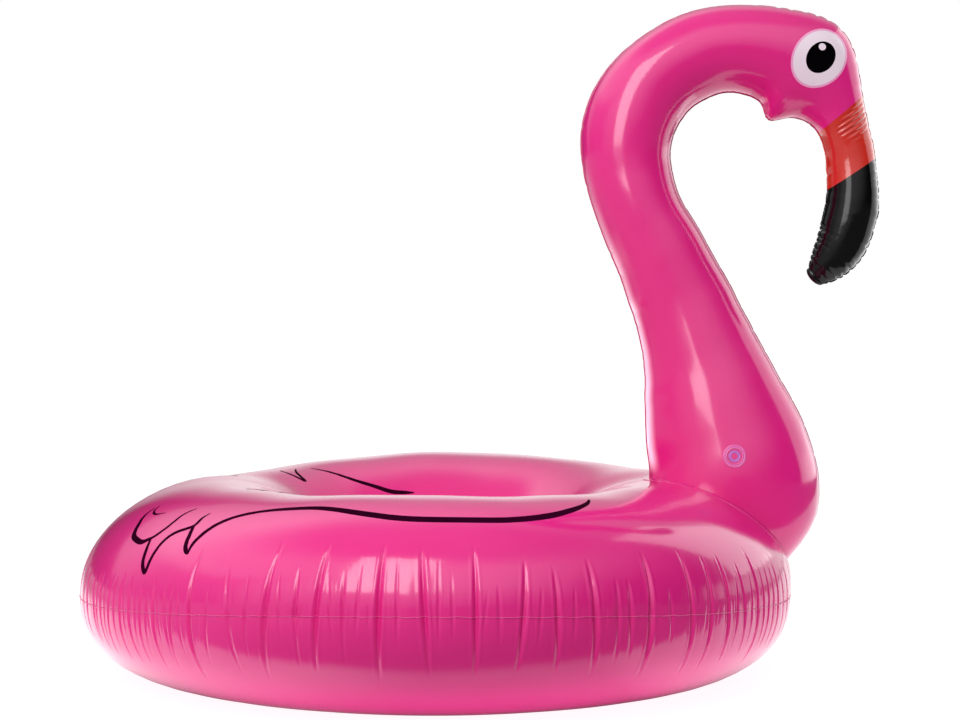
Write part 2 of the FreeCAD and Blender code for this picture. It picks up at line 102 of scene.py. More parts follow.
# the same columns, then the half thickness along Y
UPPER_NECK = [
    (660, 290.3, 778.2, 67.5, 66.3, 68.0, 66.9), (680, 289.4, 798.2, 69.4, 67.4, 68.9, 67.7),
    (700, 290.6, 818.2, 71.1, 68.6, 69.7, 68.4), (720, 294.2, 837.9, 71.5, 69.1, 70.3, 68.9),
    (740, 300.5, 856.9, 70.9, 69.3, 70.3, 68.9), (760, 309.4, 874.8, 69.5, 68.6, 69.8, 68.5),
    (780, 320.8, 891.2, 68.2, 68.4, 68.9, 67.7), (800, 334.4, 905.9, 67.6, 67.4, 68.2, 67.0),
    (820, 349.8, 918.7, 67.5, 66.2, 67.5, 66.3), (840, 366.5, 929.8, 67.4, 65.6, 67.1, 65.9),
    (860, 384.3, 939.0, 67.7, 65.2, 66.8, 65.6), (880, 402.9, 946.4, 67.5, 65.0, 66.8, 65.5),
    (900, 422.2, 951.7, 67.1, 65.1, 67.0, 65.6), (920, 441.9, 954.7, 67.3, 66.3, 67.6, 65.9),
    (940, 461.9, 955.3, 67.8, 67.3, 68.7, 66.2), (960, 481.8, 953.5, 69.9, 68.5, 70.3, 66.4),
    (968, 489.7, 952.2, 70.6, 69.1, 71.0, 66.5), (976, 497.6, 950.7, 71.6, 69.8, 71.8, 66.5),
    (984, 505.4, 948.9, 71.9, 71.1, 72.6, 66.4), (992, 513.1, 946.8, 72.8, 72.5, 73.4, 66.3),
    (1000, 520.8, 944.4, 74.3, 74.2, 74.3, 66.1), (1008, 528.3, 941.7, 75.4, 78.3, 75.1, 65.7),
    (1016, 535.7, 938.7, 78.1, 82.8, 76.0, 65.3), (1024, 542.9, 935.3, 79.4, 86.8, 76.7, 64.7),
    (1032, 550.0, 931.5, 81.7, 89.7, 77.2, 63.9), (1040, 556.8, 927.4, 83.6, 92.0, 77.2, 63.0),
    (1048, 563.3, 922.8, 84.3, 91.8, 76.6, 62.0), (1056, 569.6, 917.9, 83.3, 91.8, 75.2, 60.8),
    (1064, 575.5, 912.5, 80.0, 92.0, 73.3, 59.4), (1072, 581.1, 906.8, 77.0, 91.8, 70.8, 57.9),
    (1080, 586.3, 900.7, 72.3, 90.0, 67.8, 56.3), (1088, 591.1, 894.4, 67.5, 88.4, 64.5, 54.5),
    (1096, 595.5, 887.7, 62.1, 83.2, 61.0, 52.6), (1104, 599.6, 880.9, 57.6, 67.9, 57.5, 50.5),
    (1112, 603.4, 873.8, 54.6, 58.5, 54.1, 48.4), (1120, 606.9, 866.7, 51.4, 51.9, 50.9, 46.3),
    (1128, 610.2, 859.4, 49.0, 46.0, 48.0, 44.3), (1136, 613.3, 852.0, 47.3, 42.0, 45.5, 42.5),
    (1144, 616.3, 844.5, 45.4, 38.0, 43.5, 41.0), (1152, 619.0, 837.0, 44.9, 35.5, 41.8, 39.8),
    (1160, 621.7, 829.5, 43.8, 34.5, 40.6, 38.8), (1168, 624.2, 821.9, 42.5, 33.5, 39.6, 38.1),
    (1176, 626.5, 814.2, 42.2, 33.2, 39.0, 37.6), (1184, 628.7, 806.6, 41.7, 33.1, 38.5, 37.2),
    (1192, 630.8, 798.8, 41.9, 33.1, 38.2, 37.0), (1200, 632.6, 791.0, 41.0, 33.6, 38.1, 37.0),
    (1208, 634.3, 783.2, 40.1, 35.1, 38.2, 37.0), (1216, 635.7, 775.3, 39.6, 36.4, 38.4, 37.2),
    (1224, 636.9, 767.4, 39.0, 36.4, 38.7, 37.4), (1232, 638.0, 759.5, 39.0, 36.8, 39.1, 37.7),
    (1240, 638.8, 751.5, 39.2, 38.2, 39.5, 38.1), (1248, 639.4, 743.6, 39.4, 38.0, 39.9, 38.4),
    (1256, 639.7, 735.6, 40.1, 38.4, 40.3, 38.7), (1264, 639.9, 727.6, 41.1, 38.9, 40.7, 39.0),
    (1272, 639.7, 719.6, 41.6, 40.0, 41.0, 39.3), (1280, 639.3, 711.6, 41.2, 40.0, 41.2, 39.4),
    (1288, 638.6, 703.6, 41.5, 40.8, 41.3, 39.4), (1296, 637.5, 695.7, 40.8, 41.3, 41.2, 39.3),
    (1304, 636.0, 687.8, 39.1, 41.5, 41.0, 38.9), (1312, 634.1, 680.0, 39.0, 41.8, 40.7, 38.4),
    (1320, 631.8, 672.4, 39.0, 41.6, 40.1, 37.6), (1328, 629.0, 664.9, 39.6, 41.3, 39.3, 36.5),
    (1336, 625.7, 657.6, 38.8, 40.3, 38.3, 35.2), (1344, 622.0, 650.6, 38.9, 39.5, 37.1, 33.6),
    (1352, 617.9, 643.7, 38.1, 37.7, 35.6, 31.7), (1360, 613.5, 637.1, 37.3, 36.1, 33.7, 29.5),
    (1368, 608.7, 630.7, 35.0, 33.9, 31.5, 27.0), (1376, 603.6, 624.5, 33.0, 31.4, 28.7, 24.1),
    (1384, 598.3, 618.5, 31.5, 27.9, 25.3, 20.8), (1392, 592.8, 612.7, 26.0, 25.3, 20.9, 16.8),
    (1400, 587.1, 607.2, 22.9, 19.9, 15.2, 12.0), (1408, 581.2, 601.7, 15.5, 13.3, 9.6, 6.7),
]
# half thickness of the lower neck along Y: (length along, half thickness), mm
LOWER_THICKNESS = [
    (0, 78), (40, 91.6), (80, 101.3), (120, 106.3), (150, 106.4), (180, 103.6), (200, 101.0),
    (220, 98), (240, 94.8), (260, 91.4), (280, 88), (300, 84.5), (320, 81), (340, 77.8),
    (360, 75), (380, 72.6), (400, 70.7), (420, 69.3), (440, 68.3), (480, 67.2), (520, 66.8),
    (560, 66.5), (600, 66.3), (640, 66.3),
]
# what is added to the half widths: (length along, offset), m
BACK_OFFSET = [
    (0, 0), (0.14, 0), (0.16, 0.0004), (0.18, 0.0012), (0.20, -0.0031), (0.22, -0.0055),
    (0.24, -0.0036), (0.26, -0.0006), (0.28, 0), (0.50, 0), (0.56, -0.001), (0.70, -0.0015),
    (0.76, -0.003), (0.82, -0.0055), (0.96, -0.0055), (1.04, -0.0035), (1.13, -0.003),
    (1.25, -0.003), (1.408, -0.001),
]
FRONT_OFFSET = [
    (0, -0.013), (0.02, -0.015), (0.04, -0.012), (0.06, -0.006), (0.08, -0.002), (0.10, 0.001),
    (0.16, 0.0015), (0.22, 0), (0.30, -0.003), (0.56, -0.0022), (0.62, -0.001), (0.66, 0),
    (0.70, 0.001), (0.78, 0.0035), (1.00, 0.0035), (1.09, 0.003), (1.15, 0.0015), (1.408, 0),
]


# ------------------------------------------------------------ helpers
def spline(knots, values):
    """Natural cubic spline through the values at the knots."""
    count = len(knots)
    gap = np.diff(knots)
    system = np.zeros((count, count))
    right = np.zeros(count)
    system[0, 0] = system[-1, -1] = 1
    for i in range(1, count - 1):
        system[i, i - 1:i + 2] = gap[i - 1], 2 * (gap[i - 1] + gap[i]), gap[i]
        right[i] = 6 * ((values[i + 1] - values[i]) / gap[i]
                        - (values[i] - values[i - 1]) / gap[i - 1])
    bend = np.linalg.solve(system, right)

    def at(query):
        i = np.clip(np.searchsorted(knots, query) - 1, 0, count - 2)
        d = gap[i]
        a, b = (knots[i + 1] - query) / d, (query - knots[i]) / d
        cubic = ((a ** 3 - a) * bend[i] + (b ** 3 - b) * bend[i + 1]) * d * d / 6
        return a * values[i] + b * values[i + 1] + cubic

    return at


def smoothstep(start, stop, x):
    f = np.clip((x - start) / (stop - start), 0, 1)
    return f * f * (3 - 2 * f)


def hann_smooth(values, half, **padding):
    """Moving average with a bell-shaped window of half + 1 + half samples."""
    window = np.hanning(2 * half + 1)
    window /= window.sum()
    return np.convolve(np.pad(values, half, **padding), window, "valid")


def wave(x, seed, scale, octaves):
    """Smooth seeded noise of one variable, about -1 to 1."""
    rng = np.random.RandomState(seed)
    out = np.zeros_like(x)
    strength = 1.0
    for octave in range(octaves):
        for _ in range(5):
            frequency = (0.6 + 0.8 * rng.rand()) * 2 ** octave / scale
            out = out + strength * 0.35 * np.sin(2 * np.pi * (frequency * x + rng.rand()))
        strength *= 0.5
    return out


def make_mesh(name, verts, faces, normals=None, slots=None):
    """Smooth mesh object, with custom normals and material slot numbers where given."""
    mesh = bpy.data.meshes.new(name)
    mesh.from_pydata([tuple(v) for v in verts], [], [tuple(int(i) for i in f) for f in faces])
    mesh.update()
    mesh.polygons.foreach_set("use_smooth", [True] * len(mesh.polygons))
    if slots is not None:
        mesh.polygons.foreach_set("material_index", slots)
    if normals is not None:
        mesh.normals_split_custom_set_from_vertices([tuple(v) for v in normals])
    ob = bpy.data.objects.new(name, mesh)
    bpy.context.scene.collection.objects.link(ob)
    return ob


def grid_faces(rows, columns, closed, flip):
    """Quads of a grid of points; closed joins the last row to the first."""
    index = np.arange(rows * columns).reshape(rows, columns)
    after = np.roll(index, -1, 0)
    if not closed:
        index, after = index[:-1], after[:-1]
    quads = np.stack([index[:, :-1], after[:, :-1], after[:, 1:], index[:, 1:]], -1)
    quads = quads.reshape(-1, 4)
    return quads[:, ::-1] if flip else quads


def outward_normals(points, closed, outward, part=slice(None)):
    """Grid normals turned to the outward direction, judged on the columns in part, and
    whether they had to be flipped."""
    if closed:
        along = np.roll(points, -1, 0) - np.roll(points, 1, 0)
    else:
        along = np.gradient(points, axis=0)
    normals = np.cross(along, np.gradient(points, axis=1))
    normals /= np.maximum(np.linalg.norm(normals, axis=-1, keepdims=True), 1e-12)
    flip = bool((normals[:, part] * outward).sum() < 0)
    return (-normals if flip else normals), flip


def closed_sheet(name, points, normals, flip):
    faces = grid_faces(*points.shape[:2], True, flip)
    return make_mesh(name, points.reshape(-1, 3), faces, normals.reshape(-1, 3))


def tree_of(ob):
    """Ray-cast tree of the faces in the first material slot."""
    mesh = ob.data
    faces = [p.vertices[:] for p in mesh.polygons if p.material_index == 0]
    return BVHTree.FromPolygons([v.co[:] for v in mesh.vertices], faces)


def without_repeats(corners):
    return list(dict.fromkeys(corners))


# ------------------------------------------------------------ ring surface
# "around" is the angle about the ring's axis from +X; "tube" is the angle round the tube,
# 0 at the outside seam, positive over the top and pi at the inside seam.
SECTION_POWER = 2.1  # of the superellipse section; 2 would be an ellipse
TUBE_ARC_RADIUS = 0.155  # turns tube angle into length along the film
CREST_HUMPS = [(88, 26, 0.007), (146, 26, -0.010), (45, 16, -0.003), (268, 28, 0.0052)]
# (middle in degrees, width in degrees, lift)


def seam_drop(around):
    """How far the outside seam sits below the tube's middle height."""
    return 0.004 + 0.020 * np.cos(2 * around)


def hump(around, middle, width):
    """Smooth hump round the ring, 1 at the middle; middle and width in degrees."""
    away = (np.degrees(around) - middle + 180) % 360 - 180
    return np.exp(-(away / width) ** 2)


def crest_lift(around):
    """How much higher the crest stands than the plain section."""
    lift = 0.004 * np.clip(np.sin(around), 0, 1)
    for middle, width, height in CREST_HUMPS:
        lift = lift + height * hump(around, middle, width)
    return lift


def ring_smooth(around, tube):
    """Points of the tube without wrinkles."""
    c, s = np.cos(tube), np.sin(tube)
    outer, top = np.clip(c, 0, 1), np.clip(s, 0, 1)
    reach = (np.abs(c) ** SECTION_POWER + np.abs(s) ** SECTION_POWER) ** (-1 / SECTION_POWER)
    # the outside bulges at -X, and above the seam at +X
    r = R_MID + TUBE_HALF_WIDTH * c * reach + 0.0075 * hump(around, 184, 40) * outer
    r = r + 0.008 * hump(around, 0, 20) * outer * smoothstep(-0.1, 0.55, s)
    z = SEAM_HEIGHT + TUBE_RISE * s * reach
    z = z - seam_drop(around) * outer ** 1.3
    z = z + crest_lift(around) * top
    # softly flattened where it rests on the floor
    z = 0.5 * (z + np.sqrt(z * z + 0.002 ** 2)) - 0.0004
    return np.stack([CENTRE_X + r * np.cos(around), CENTRE_Y + r * np.sin(around), z], -1)


def ring_implicit(p):
    """Negative inside the tube, positive outside."""
    dx, dy = p[..., 0] - CENTRE_X, p[..., 1] - CENTRE_Y
    across = (np.hypot(dx, dy) - R_MID) / TUBE_HALF_WIDTH
    z = p[..., 2] + seam_drop(np.arctan2(dy, dx)) * np.clip(across, 0, 1) ** 1.3
    up = (z - SEAM_HEIGHT) / TUBE_RISE
    power = SECTION_POWER
    return (np.abs(across) ** power + np.abs(up) ** power) ** (1 / power) - 1


# puckers across the outside weld on the -Y side:
# angle in degrees, then depth, half width, reach up and reach down in mm
NEAR_PUCKERS = [
    (207.0, 2.4, 2.8, 46, 66), (208.7, 2.0, 2.6, 54, 60), (210.4, 2.6, 2.8, 50, 72),
    (212.1, 1.8, 2.4, 44, 60), (213.7, 2.6, 2.8, 52, 78), (215.6, 2.2, 2.6, 48, 66),
    (217.6, 2.8, 2.8, 56, 84), (218.8, 1.6, 2.4, 40, 56), (220.3, 3.0, 3.0, 54, 88),
    (222.0, 2.0, 2.6, 44, 62), (223.3, 2.8, 2.8, 50, 84), (224.9, 2.0, 2.6, 46, 70),
    (226.6, 3.2, 3.0, 56, 92), (227.7, 1.6, 2.4, 40, 56), (229.3, 2.4, 2.8, 50, 74),
    (230.6, 2.6, 2.8, 46, 88), (232.2, 1.8, 2.6, 44, 66), (234.3, 4.6, 4.0, 98, 104),
    (237.6, 1.7, 3.0, 40, 74), (241.3, 2.4, 3.4, 70, 88), (244.2, 1.6, 2.6, 62, 60),
    (247.3, 4.6, 4.4, 98, 96), (249.6, 1.6, 2.6, 66, 40), (252.1, 3.0, 3.6, 72, 70),
    (255.1, 5.2, 4.6, 100, 80), (257.2, 1.8, 3.0, 60, 40), (259.0, 3.0, 3.8, 56, 66),
    (261.0, 1.6, 3.0, 70, 30), (264.0, 5.8, 5.0, 104, 96), (266.6, 1.6, 3.2, 84, 40),
    (270.4, 5.4, 5.0, 96, 84), (272.3, 1.8, 3.0, 74, 40), (274.2, 1.4, 3.0, 60, 30),
    (277.4, 5.0, 4.6, 100, 90), (280.6, 1.7, 3.6, 46, 40), (284.0, 4.6, 4.6, 82, 86),
    (286.4, 1.4, 3.2, 40, 50), (288.9, 3.8, 4.4, 66, 88), (291.4, 1.4, 3.0, 40, 40),
    (294.6, 5.4, 4.8, 78, 92), (298.2, 2.0, 4.2, 54, 70), (300.3, 3.0, 4.2, 50, 60),
    (303.8, 5.4, 4.6, 88, 96), (307.4, 1.8, 3.4, 44, 40), (311.5, 4.6, 4.2, 90, 92),
    (315.6, 3.8, 3.8, 82, 88), (319.9, 4.4, 4.0, 84, 80), (322.4, 2.0, 3.0, 50, 60),
    (324.6, 3.2, 3.6, 70, 72), (327.0, 2.0, 3.0, 60, 60), (329.2, 4.6, 4.0, 88, 88),
    (331.4, 2.6, 3.0, 66, 66), (333.4, 2.8, 3.0, 70, 70), (335.6, 2.6, 3.0, 70, 70),
    (338.0, 3.2, 3.2, 76, 76), (341.2, 2.4, 3.0, 60, 60), (344.8, 3.0, 3.4, 66, 66),
    (349.0, 2.6, 3.4, 60, 60),
]


def pucker(angle, depth, half_width, up, down, lean_limit=0.10):
    """Pucker from an angle in radians and sizes in mm, leaning by a random amount."""
    lean = lean_limit * RNG.uniform(-1, 1)
    return angle, depth * 1e-3, half_width * 1e-3, up * 1e-3, down * 1e-3, lean


def seed_puckers():
    """The listed puckers, random ones over the rest of the ring, then faint ones all round."""
    out = [pucker(math.radians(angle), *sizes) for angle, *sizes in NEAR_PUCKERS]
    degrees = -8.0
    while degrees < 203.0:
        big = RNG.rand() < 0.4
        depth = RNG.uniform(3.2, 5.4) if big else RNG.uniform(1.2, 2.8)
        out.append(pucker(math.radians(degrees), depth, RNG.uniform(3.0, 4.8),
                          RNG.uniform(45, 100), RNG.uniform(45, 100)))
        degrees += RNG.uniform(2.2, 5.6)
    for _ in range(150):
        out.append(pucker(RNG.uniform(0, 2 * math.pi), RNG.uniform(0.3, 0.9),
                          RNG.uniform(2.0, 3.4), RNG.uniform(15, 50), RNG.uniform(15, 50),
                          lean_limit=0.15))
    return out


PUCKERS = seed_puckers()


def angle_from(around, angle):
    return (around - angle + math.pi) % (2 * math.pi) - math.pi


def outer_pucker(around, height):
    """Inward depth for a column of angles and a row of heights along the film above the
    outside weld."""
    out = np.zeros((len(around), height.shape[1]))
    for angle, depth, width, up, down, lean in PUCKERS:
        x = angle_from(around, angle)
        close = np.abs(x[:, 0]) < 0.10
        fade = np.clip(1 - np.where(height >= 0, height / up, -height / down), 0, 1)
        away = x[close] * R_OUT - lean * height
        q = np.abs(away / (width * (0.42 + 0.16 * fade)))
        core = 0.80 * np.exp(-q ** 1.5)
        swell = 0.22 * np.exp(-((q - 2.3) / 1.1) ** 2)
        wide = 0.50 / (1 + np.abs(away / (width * 2.1)) ** 2.4)
        out[close] += depth * (fade ** 0.75 * (core - swell) + fade ** 1.5 * wide)
    return out


def inner_pucker(around, height):
    """The same for the inside weld, from its own seeded draw."""
    out = np.zeros((len(around), height.shape[1]))
    rng = np.random.RandomState(21)
    for _ in range(70):
        angle = rng.uniform(0, 2 * math.pi)
        depth = rng.uniform(0.5, 2.0) * 1e-3
        width = rng.uniform(2.5, 4.5) * 1e-3
        reach = rng.uniform(30, 80) * 1e-3
        x = angle_from(around, angle) * R_IN
        fade = np.clip(1 - np.abs(height) / reach, 0, 1)
        out += depth * fade ** 1.3 / (1 + np.abs(x / width) ** 2.2)
    return out


def ring_points(around, tube):
    """Puckered ring surface for a column of angles around and a row of tube angles."""
    p = ring_smooth(around, tube)
    above_outer = tube * TUBE_ARC_RADIUS
    above_inner = np.where(tube > 0, math.pi - tube, -math.pi - tube) * TUBE_ARC_RADIUS
    depth = np.zeros(p.shape[:2])
    outer = (np.abs(tube) < 1.0)[0]
    if outer.any():
        depth[:, outer] += outer_pucker(around, above_outer[:, outer])
    inner = (np.abs(tube) > 2.3)[0]
    if inner.any():
        depth[:, inner] += inner_pucker(around, above_inner[:, inner])
    # slow unevenness of the blown-up film
    slow = 0.0006 * (np.sin(5 * around + 1.3 + 2 * np.sin(tube))
                     + np.sin(9 * around + 3 * np.cos(tube + 0.4))
                     + 0.7 * np.sin(14 * around + 2.0 * tube))
    off_floor = smoothstep(0.004, 0.05, p[..., 2])
    out = section_normal(around, tube)
    return p - out * (depth * off_floor)[..., None] + out * (slow * off_floor)[..., None]


def section_normal(around, tube):
    """Outward direction of a round section."""
    c = np.cos(tube)
    return np.stack([c * np.cos(around), c * np.sin(around), np.sin(tube) + 0 * around], -1)


RING_COLUMNS = 2040
TUBE_POINTS = 49


def ring_columns():
    """Angles of the columns; they stand closer together along the -Y side."""
    angle = np.linspace(0, 2 * math.pi, 20001)
    rise = smoothstep(math.radians(188), math.radians(204), angle)
    fall = smoothstep(math.radians(342), math.radians(354), angle)
    density = 1.0 + 1.1 * rise * (1 - fall)
    total = np.concatenate([[0], np.cumsum((density[1:] + density[:-1]) / 2)])
    return np.interp(np.arange(RING_COLUMNS) / RING_COLUMNS * total[-1], total, angle)


AROUND = ring_columns()
AROUND_COLUMN = AROUND[:, None]
_fraction = np.linspace(0, 1, TUBE_POINTS)
TUBE_ROW = (math.pi * (_fraction - 0.10 * np.sin(2 * math.pi * _fraction)))[None, :]
TUBE_ROW[0, 0], TUBE_ROW[0, -1] = 0, math.pi


def ring_sheet(name, sign):
    """Upper (+1) or lower (-1) half of the ring, with its points and normals."""
    points = ring_points(AROUND_COLUMN, sign * TUBE_ROW)
    out = section_normal(AROUND_COLUMN, sign * TUBE_ROW)
    normals, flip = outward_normals(points, True, out)
    return closed_sheet(name, points, normals, flip), points, normals


upper, upper_points, upper_normals = ring_sheet("ring_upper_film", 1)
lower = ring_sheet("ring_lower_film", -1)[0]

# lip section: reach as a share (negative: metres into the film), height as a share
LIP_SECTION = [(-0.0012, -1.0), (0.4, -1.0), (0.85, -0.7), (1.0, 0.0), (0.85, 0.7), (0.4, 1.0),
               (-0.0012, 1.0)]


def weld_lip(name, tube, reach, half_height):
    """Rounded welded edge standing on the ring's seam."""
    base = ring_points(AROUND_COLUMN, np.array([[tube]]))[:, 0]
    away = 1 if tube == 0 else -1
    radial = np.stack([np.cos(AROUND), np.sin(AROUND), 0 * AROUND], -1) * away
    turns = AROUND / (2 * math.pi)
    ripple = wave(turns * 2, seed=5, scale=0.02, octaves=2) * 0.0004
    uneven = 1 + 0.25 * wave(turns * 3, seed=9, scale=0.03, octaves=3)
    columns = []
    for out, up in LIP_SECTION:
        distance = out * reach * uneven if out > 0 else out + 0 * uneven
        q = base + radial * distance[:, None]
        q[:, 2] += up * half_height + ripple
        columns.append(q)
    points = np.stack(columns, 1)
    return closed_sheet(name, points, *outward_normals(points, True, radial, part=3))


outer_lip = weld_lip("outer_weld_lip", 0.0, reach=0.0011, half_height=0.0005)
inner_lip = weld_lip("inner_weld_lip", math.pi, reach=0.0017, half_height=0.0007)

# ------------------------------------------------------------ neck surface
# "along" is the length along the neck; "turn" is the angle round it, 0 at the back weld
# (outside of the bend), pi at the front weld, over the +Y side.
_stations = np.array(LOWER_NECK + [row[:6] for row in UPPER_NECK]) / 1000.0
STATION, STATION_X, STATION_Z, BACK, FRONT, MEAN = _stations.T
BACK = BACK + np.interp(STATION, *zip(*BACK_OFFSET))
FRONT = FRONT + np.interp(STATION, *zip(*FRONT_OFFSET))
HALF_THICKNESS = np.concatenate([
    np.interp(STATION[:len(LOWER_NECK)], *(np.array(LOWER_THICKNESS) / 1000.0).T),
    np.array(UPPER_NECK)[:, 6] / 1000.0,
])
NECK_END = STATION[-1]
CAP_LENGTH = 0.008  # rounded end past the last station

WIDTH_ALONG = np.linspace(0, NECK_END, 1400)
FINE_ALONG = np.linspace(0, NECK_END, 2800)


def smoothed_width(values, reach):
    """Half width along the neck, smoothed over about the reach (m) to each side."""
    half = int(reach / (WIDTH_ALONG[1] - WIDTH_ALONG[0])) + 1
    fine = hann_smooth(np.interp(WIDTH_ALONG, STATION, values), half, mode="edge")
    return lambda along: np.interp(along, WIDTH_ALONG, fine)


mean_width = smoothed_width(MEAN, 0.014)
back_width = smoothed_width(BACK, 0.009)
front_width = smoothed_width(FRONT, 0.011)

FINE_THICKNESS = spline(STATION, HALF_THICKNESS)(FINE_ALONG)
_middle = spline(STATION, STATION_X)(FINE_ALONG), spline(STATION, STATION_Z)(FINE_ALONG)
FINE_MIDDLE = np.stack([hann_smooth(v, 20, mode="reflect", reflect_type="odd")
                        for v in (_middle[0], _middle[1] + NECK_SHIFT_Z)], 1)
FINE_DIRECTION = np.gradient(FINE_MIDDLE, axis=0)
FINE_DIRECTION /= np.linalg.norm(FINE_DIRECTION, axis=1)[:, None]


def middle_line(along):
    """x and z of the neck's middle line and of its direction; straight past the end."""
    held = np.clip(along, 0, NECK_END)
    x, z, dir_x, dir_z = (np.interp(held, FINE_ALONG, column)
                          for column in (*FINE_MIDDLE.T, *FINE_DIRECTION.T))
    length = np.hypot(dir_x, dir_z)
    dir_x, dir_z = dir_x / length, dir_z / length
    over = along - held
    return x + over * dir_x, z + over * dir_z, dir_x, dir_z


# runs of small valleys leaving the neck's welds; each pair is a random range in metres:
# start, stop, gap, depth, reach, width
SOFT, SHARP = (0.0022, 0.0040), (0.0014, 0.0024)
BACK_RUNS = [
    (0.30, 0.72, (0.012, 0.04), (0.0002, 0.0009), (0.006, 0.018), SOFT),
    (0.72, 0.98, (0.02, 0.05), (0.0002, 0.0006), (0.006, 0.016), SOFT),
    (0.985, 1.10, (0.010, 0.020), (0.0014, 0.0030), (0.012, 0.028), SOFT),
    (1.10, 1.22, (0.012, 0.024), (0.0005, 0.0014), (0.010, 0.022), SOFT),
    (1.22, 1.40, (0.007, 0.014), (0.0016, 0.0036), (0.010, 0.022), SHARP),
]
FRONT_RUNS = [
    (0.16, 0.45, (0.02, 0.05), (0.0003, 0.0012), (0.010, 0.03), SOFT),
    (0.45, 1.0, (0.02, 0.05), (0.0002, 0.0007), (0.006, 0.016), SOFT),
    (1.06, 1.33, (0.014, 0.03), (0.0003, 0.0010), (0.008, 0.016), SOFT),
    (1.33, 1.41, (0.008, 0.014), (0.0018, 0.0036), (0.010, 0.020), SHARP),
]
# folds across the orange band: place along, depth, turn where it starts, turn where it ends
FOLDS = [
    (1.1395, 0.0010, 0.40, 1.7), (1.1465, 0.0015, 0.40, 2.0), (1.1535, 0.0015, 0.40, 2.1),
    (1.1610, 0.0015, 0.35, 2.0), (1.1690, 0.0011, 0.40, 1.8), (1.177, 0.0006, 0.45, 1.6),
]


def seed_valleys(rng, runs):
    """Valleys as (place along, depth, width, reach)."""
    out = []
    for start, stop, gap, depth, reach, width in runs:
        place = start
        while place < stop:
            out.append((place, rng.uniform(*depth), rng.uniform(*width), rng.uniform(*reach)))
            place += rng.uniform(*gap)
    return out


_valley_rng = np.random.RandomState(11)
BACK_VALLEYS = seed_valleys(_valley_rng, BACK_RUNS)
FRONT_VALLEYS = seed_valleys(_valley_rng, FRONT_RUNS)


def neck_dents(along, turn, width):
    """Inward depth of the valleys and folds."""
    depth = np.zeros(np.broadcast(along, turn).shape)
    for valleys, arc in ((BACK_VALLEYS, turn * width), (FRONT_VALLEYS, (math.pi - turn) * width)):
        for place, deep, wide, reach in valleys:
            close = np.abs(along - place) < 0.03
            if not np.any(close):
                continue
            q = (along - place) / (wide * (0.5 + arc / reach * 0.5))
            valley = deep * np.exp(-(arc / reach) ** 1.4) / (1 + np.abs(q) ** 2.4)
            depth += np.where(close, valley, 0)
    for place, deep, first, last in FOLDS:
        q = (along - place - 0.010 * (turn - 0.9)) / 0.0016
        section = 1 / (1 + q * q) - 0.5 * np.exp(-((np.abs(q) - 2.4) / 1.2) ** 2)
        ends = smoothstep(first, first + 0.35, turn) * (1 - smoothstep(last - 0.5, last, turn))
        depth += deep * section * ends
    return depth


def neck_points(along, turn):
    """Left half of the neck's surface without its weld fins."""
    x, z, dir_x, dir_z = middle_line(along)
    c = np.cos(turn)
    width = mean_width(along)
    back = np.clip(c, 0, 1) ** 3 * (back_width(along) - width)
    # the chin stands out only near the front weld
    chin = smoothstep(0.97, 1.0, along) * (1 - smoothstep(1.10, 1.13, along))
    front = np.clip(-c, 0, 1) ** (2.2 + 2.5 * chin) * (front_width(along) - width)
    across = c * width + back - front
    thick = np.sin(turn) * np.interp(along, FINE_ALONG, FINE_THICKNESS)
    cap = np.sqrt(np.clip(1 - np.clip((along - NECK_END) / CAP_LENGTH, 0, 1) ** 2, 0, 1))
    slow = 0.0003 * (np.sin(along * 31 + 2 * turn) + np.sin(along * 57 - 1.5 * turn + 1))
    shrink = 1 - (neck_dents(along, turn, width) - slow) / np.maximum(width, 0.02)
    across, thick = across * shrink * cap, thick * shrink * cap
    return np.stack([x - dir_z * across, thick + 0 * across, z + dir_x * across], -1)


TURN_POINTS = 61
TURN = np.linspace(0, math.pi, TURN_POINTS)


def first_crossing(level, start, stop, count=240):
    """For each turn the first place along the range where the level turns positive."""
    along = np.linspace(start, stop, count)
    v = level(along[:, None], TURN[None, :])
    out = np.zeros(TURN_POINTS)
    for j in range(TURN_POINTS):
        hits = np.where((v[:-1, j] <= 0) & (v[1:, j] > 0))[0]
        if len(hits) == 0:
            out[j] = start if v[0, j] > 0 else stop
            continue
        i = hits[0]
        share = -v[i, j] / (v[i + 1, j] - v[i, j])
        out[j] = along[i] + (along[i + 1] - along[i]) * share
    return out


def beyond_plane(x, z, dir_x, dir_z):
    """Signed distance of the neck surface past a plane through x, z that holds the given
    direction and the Y axis."""
    length = math.hypot(dir_x, dir_z)
    normal_x, normal_z = dir_z / length, -dir_x / length

    def level(along, turn):
        p = neck_points(along, turn)
        return (p[..., 0] - x) * normal_x + (p[..., 2] - z) * normal_z

    return level


def beyond_ring(along, turn):
    return ring_implicit(neck_points(along, turn)) - 0.004


# where the neck leaves the ring, and where the orange and the black begin
foot_edge = hann_smooth(first_crossing(beyond_ring, 0.02, 0.34), 2, mode="reflect")
_orange_plane = beyond_plane(0.6244, 0.8558 + NECK_SHIFT_Z, 0.765, 0.645)
_black_plane = beyond_plane(0.6380, 0.7605 + NECK_SHIFT_Z, 0.832, 0.555)
orange_edge = hann_smooth(first_crossing(_orange_plane, 1.05, 1.24), 3, mode="reflect")
black_edge = hann_smooth(first_crossing(_black_plane, 1.15, 1.33), 3, mode="reflect")

SKIN_ROWS, ORANGE_ROWS, BLACK_ROWS, CAP_ROWS = 420, 60, 130, 8


def rows_between(start, stop, count):
    return [start + (stop - start) * k / count for k in range(count)]


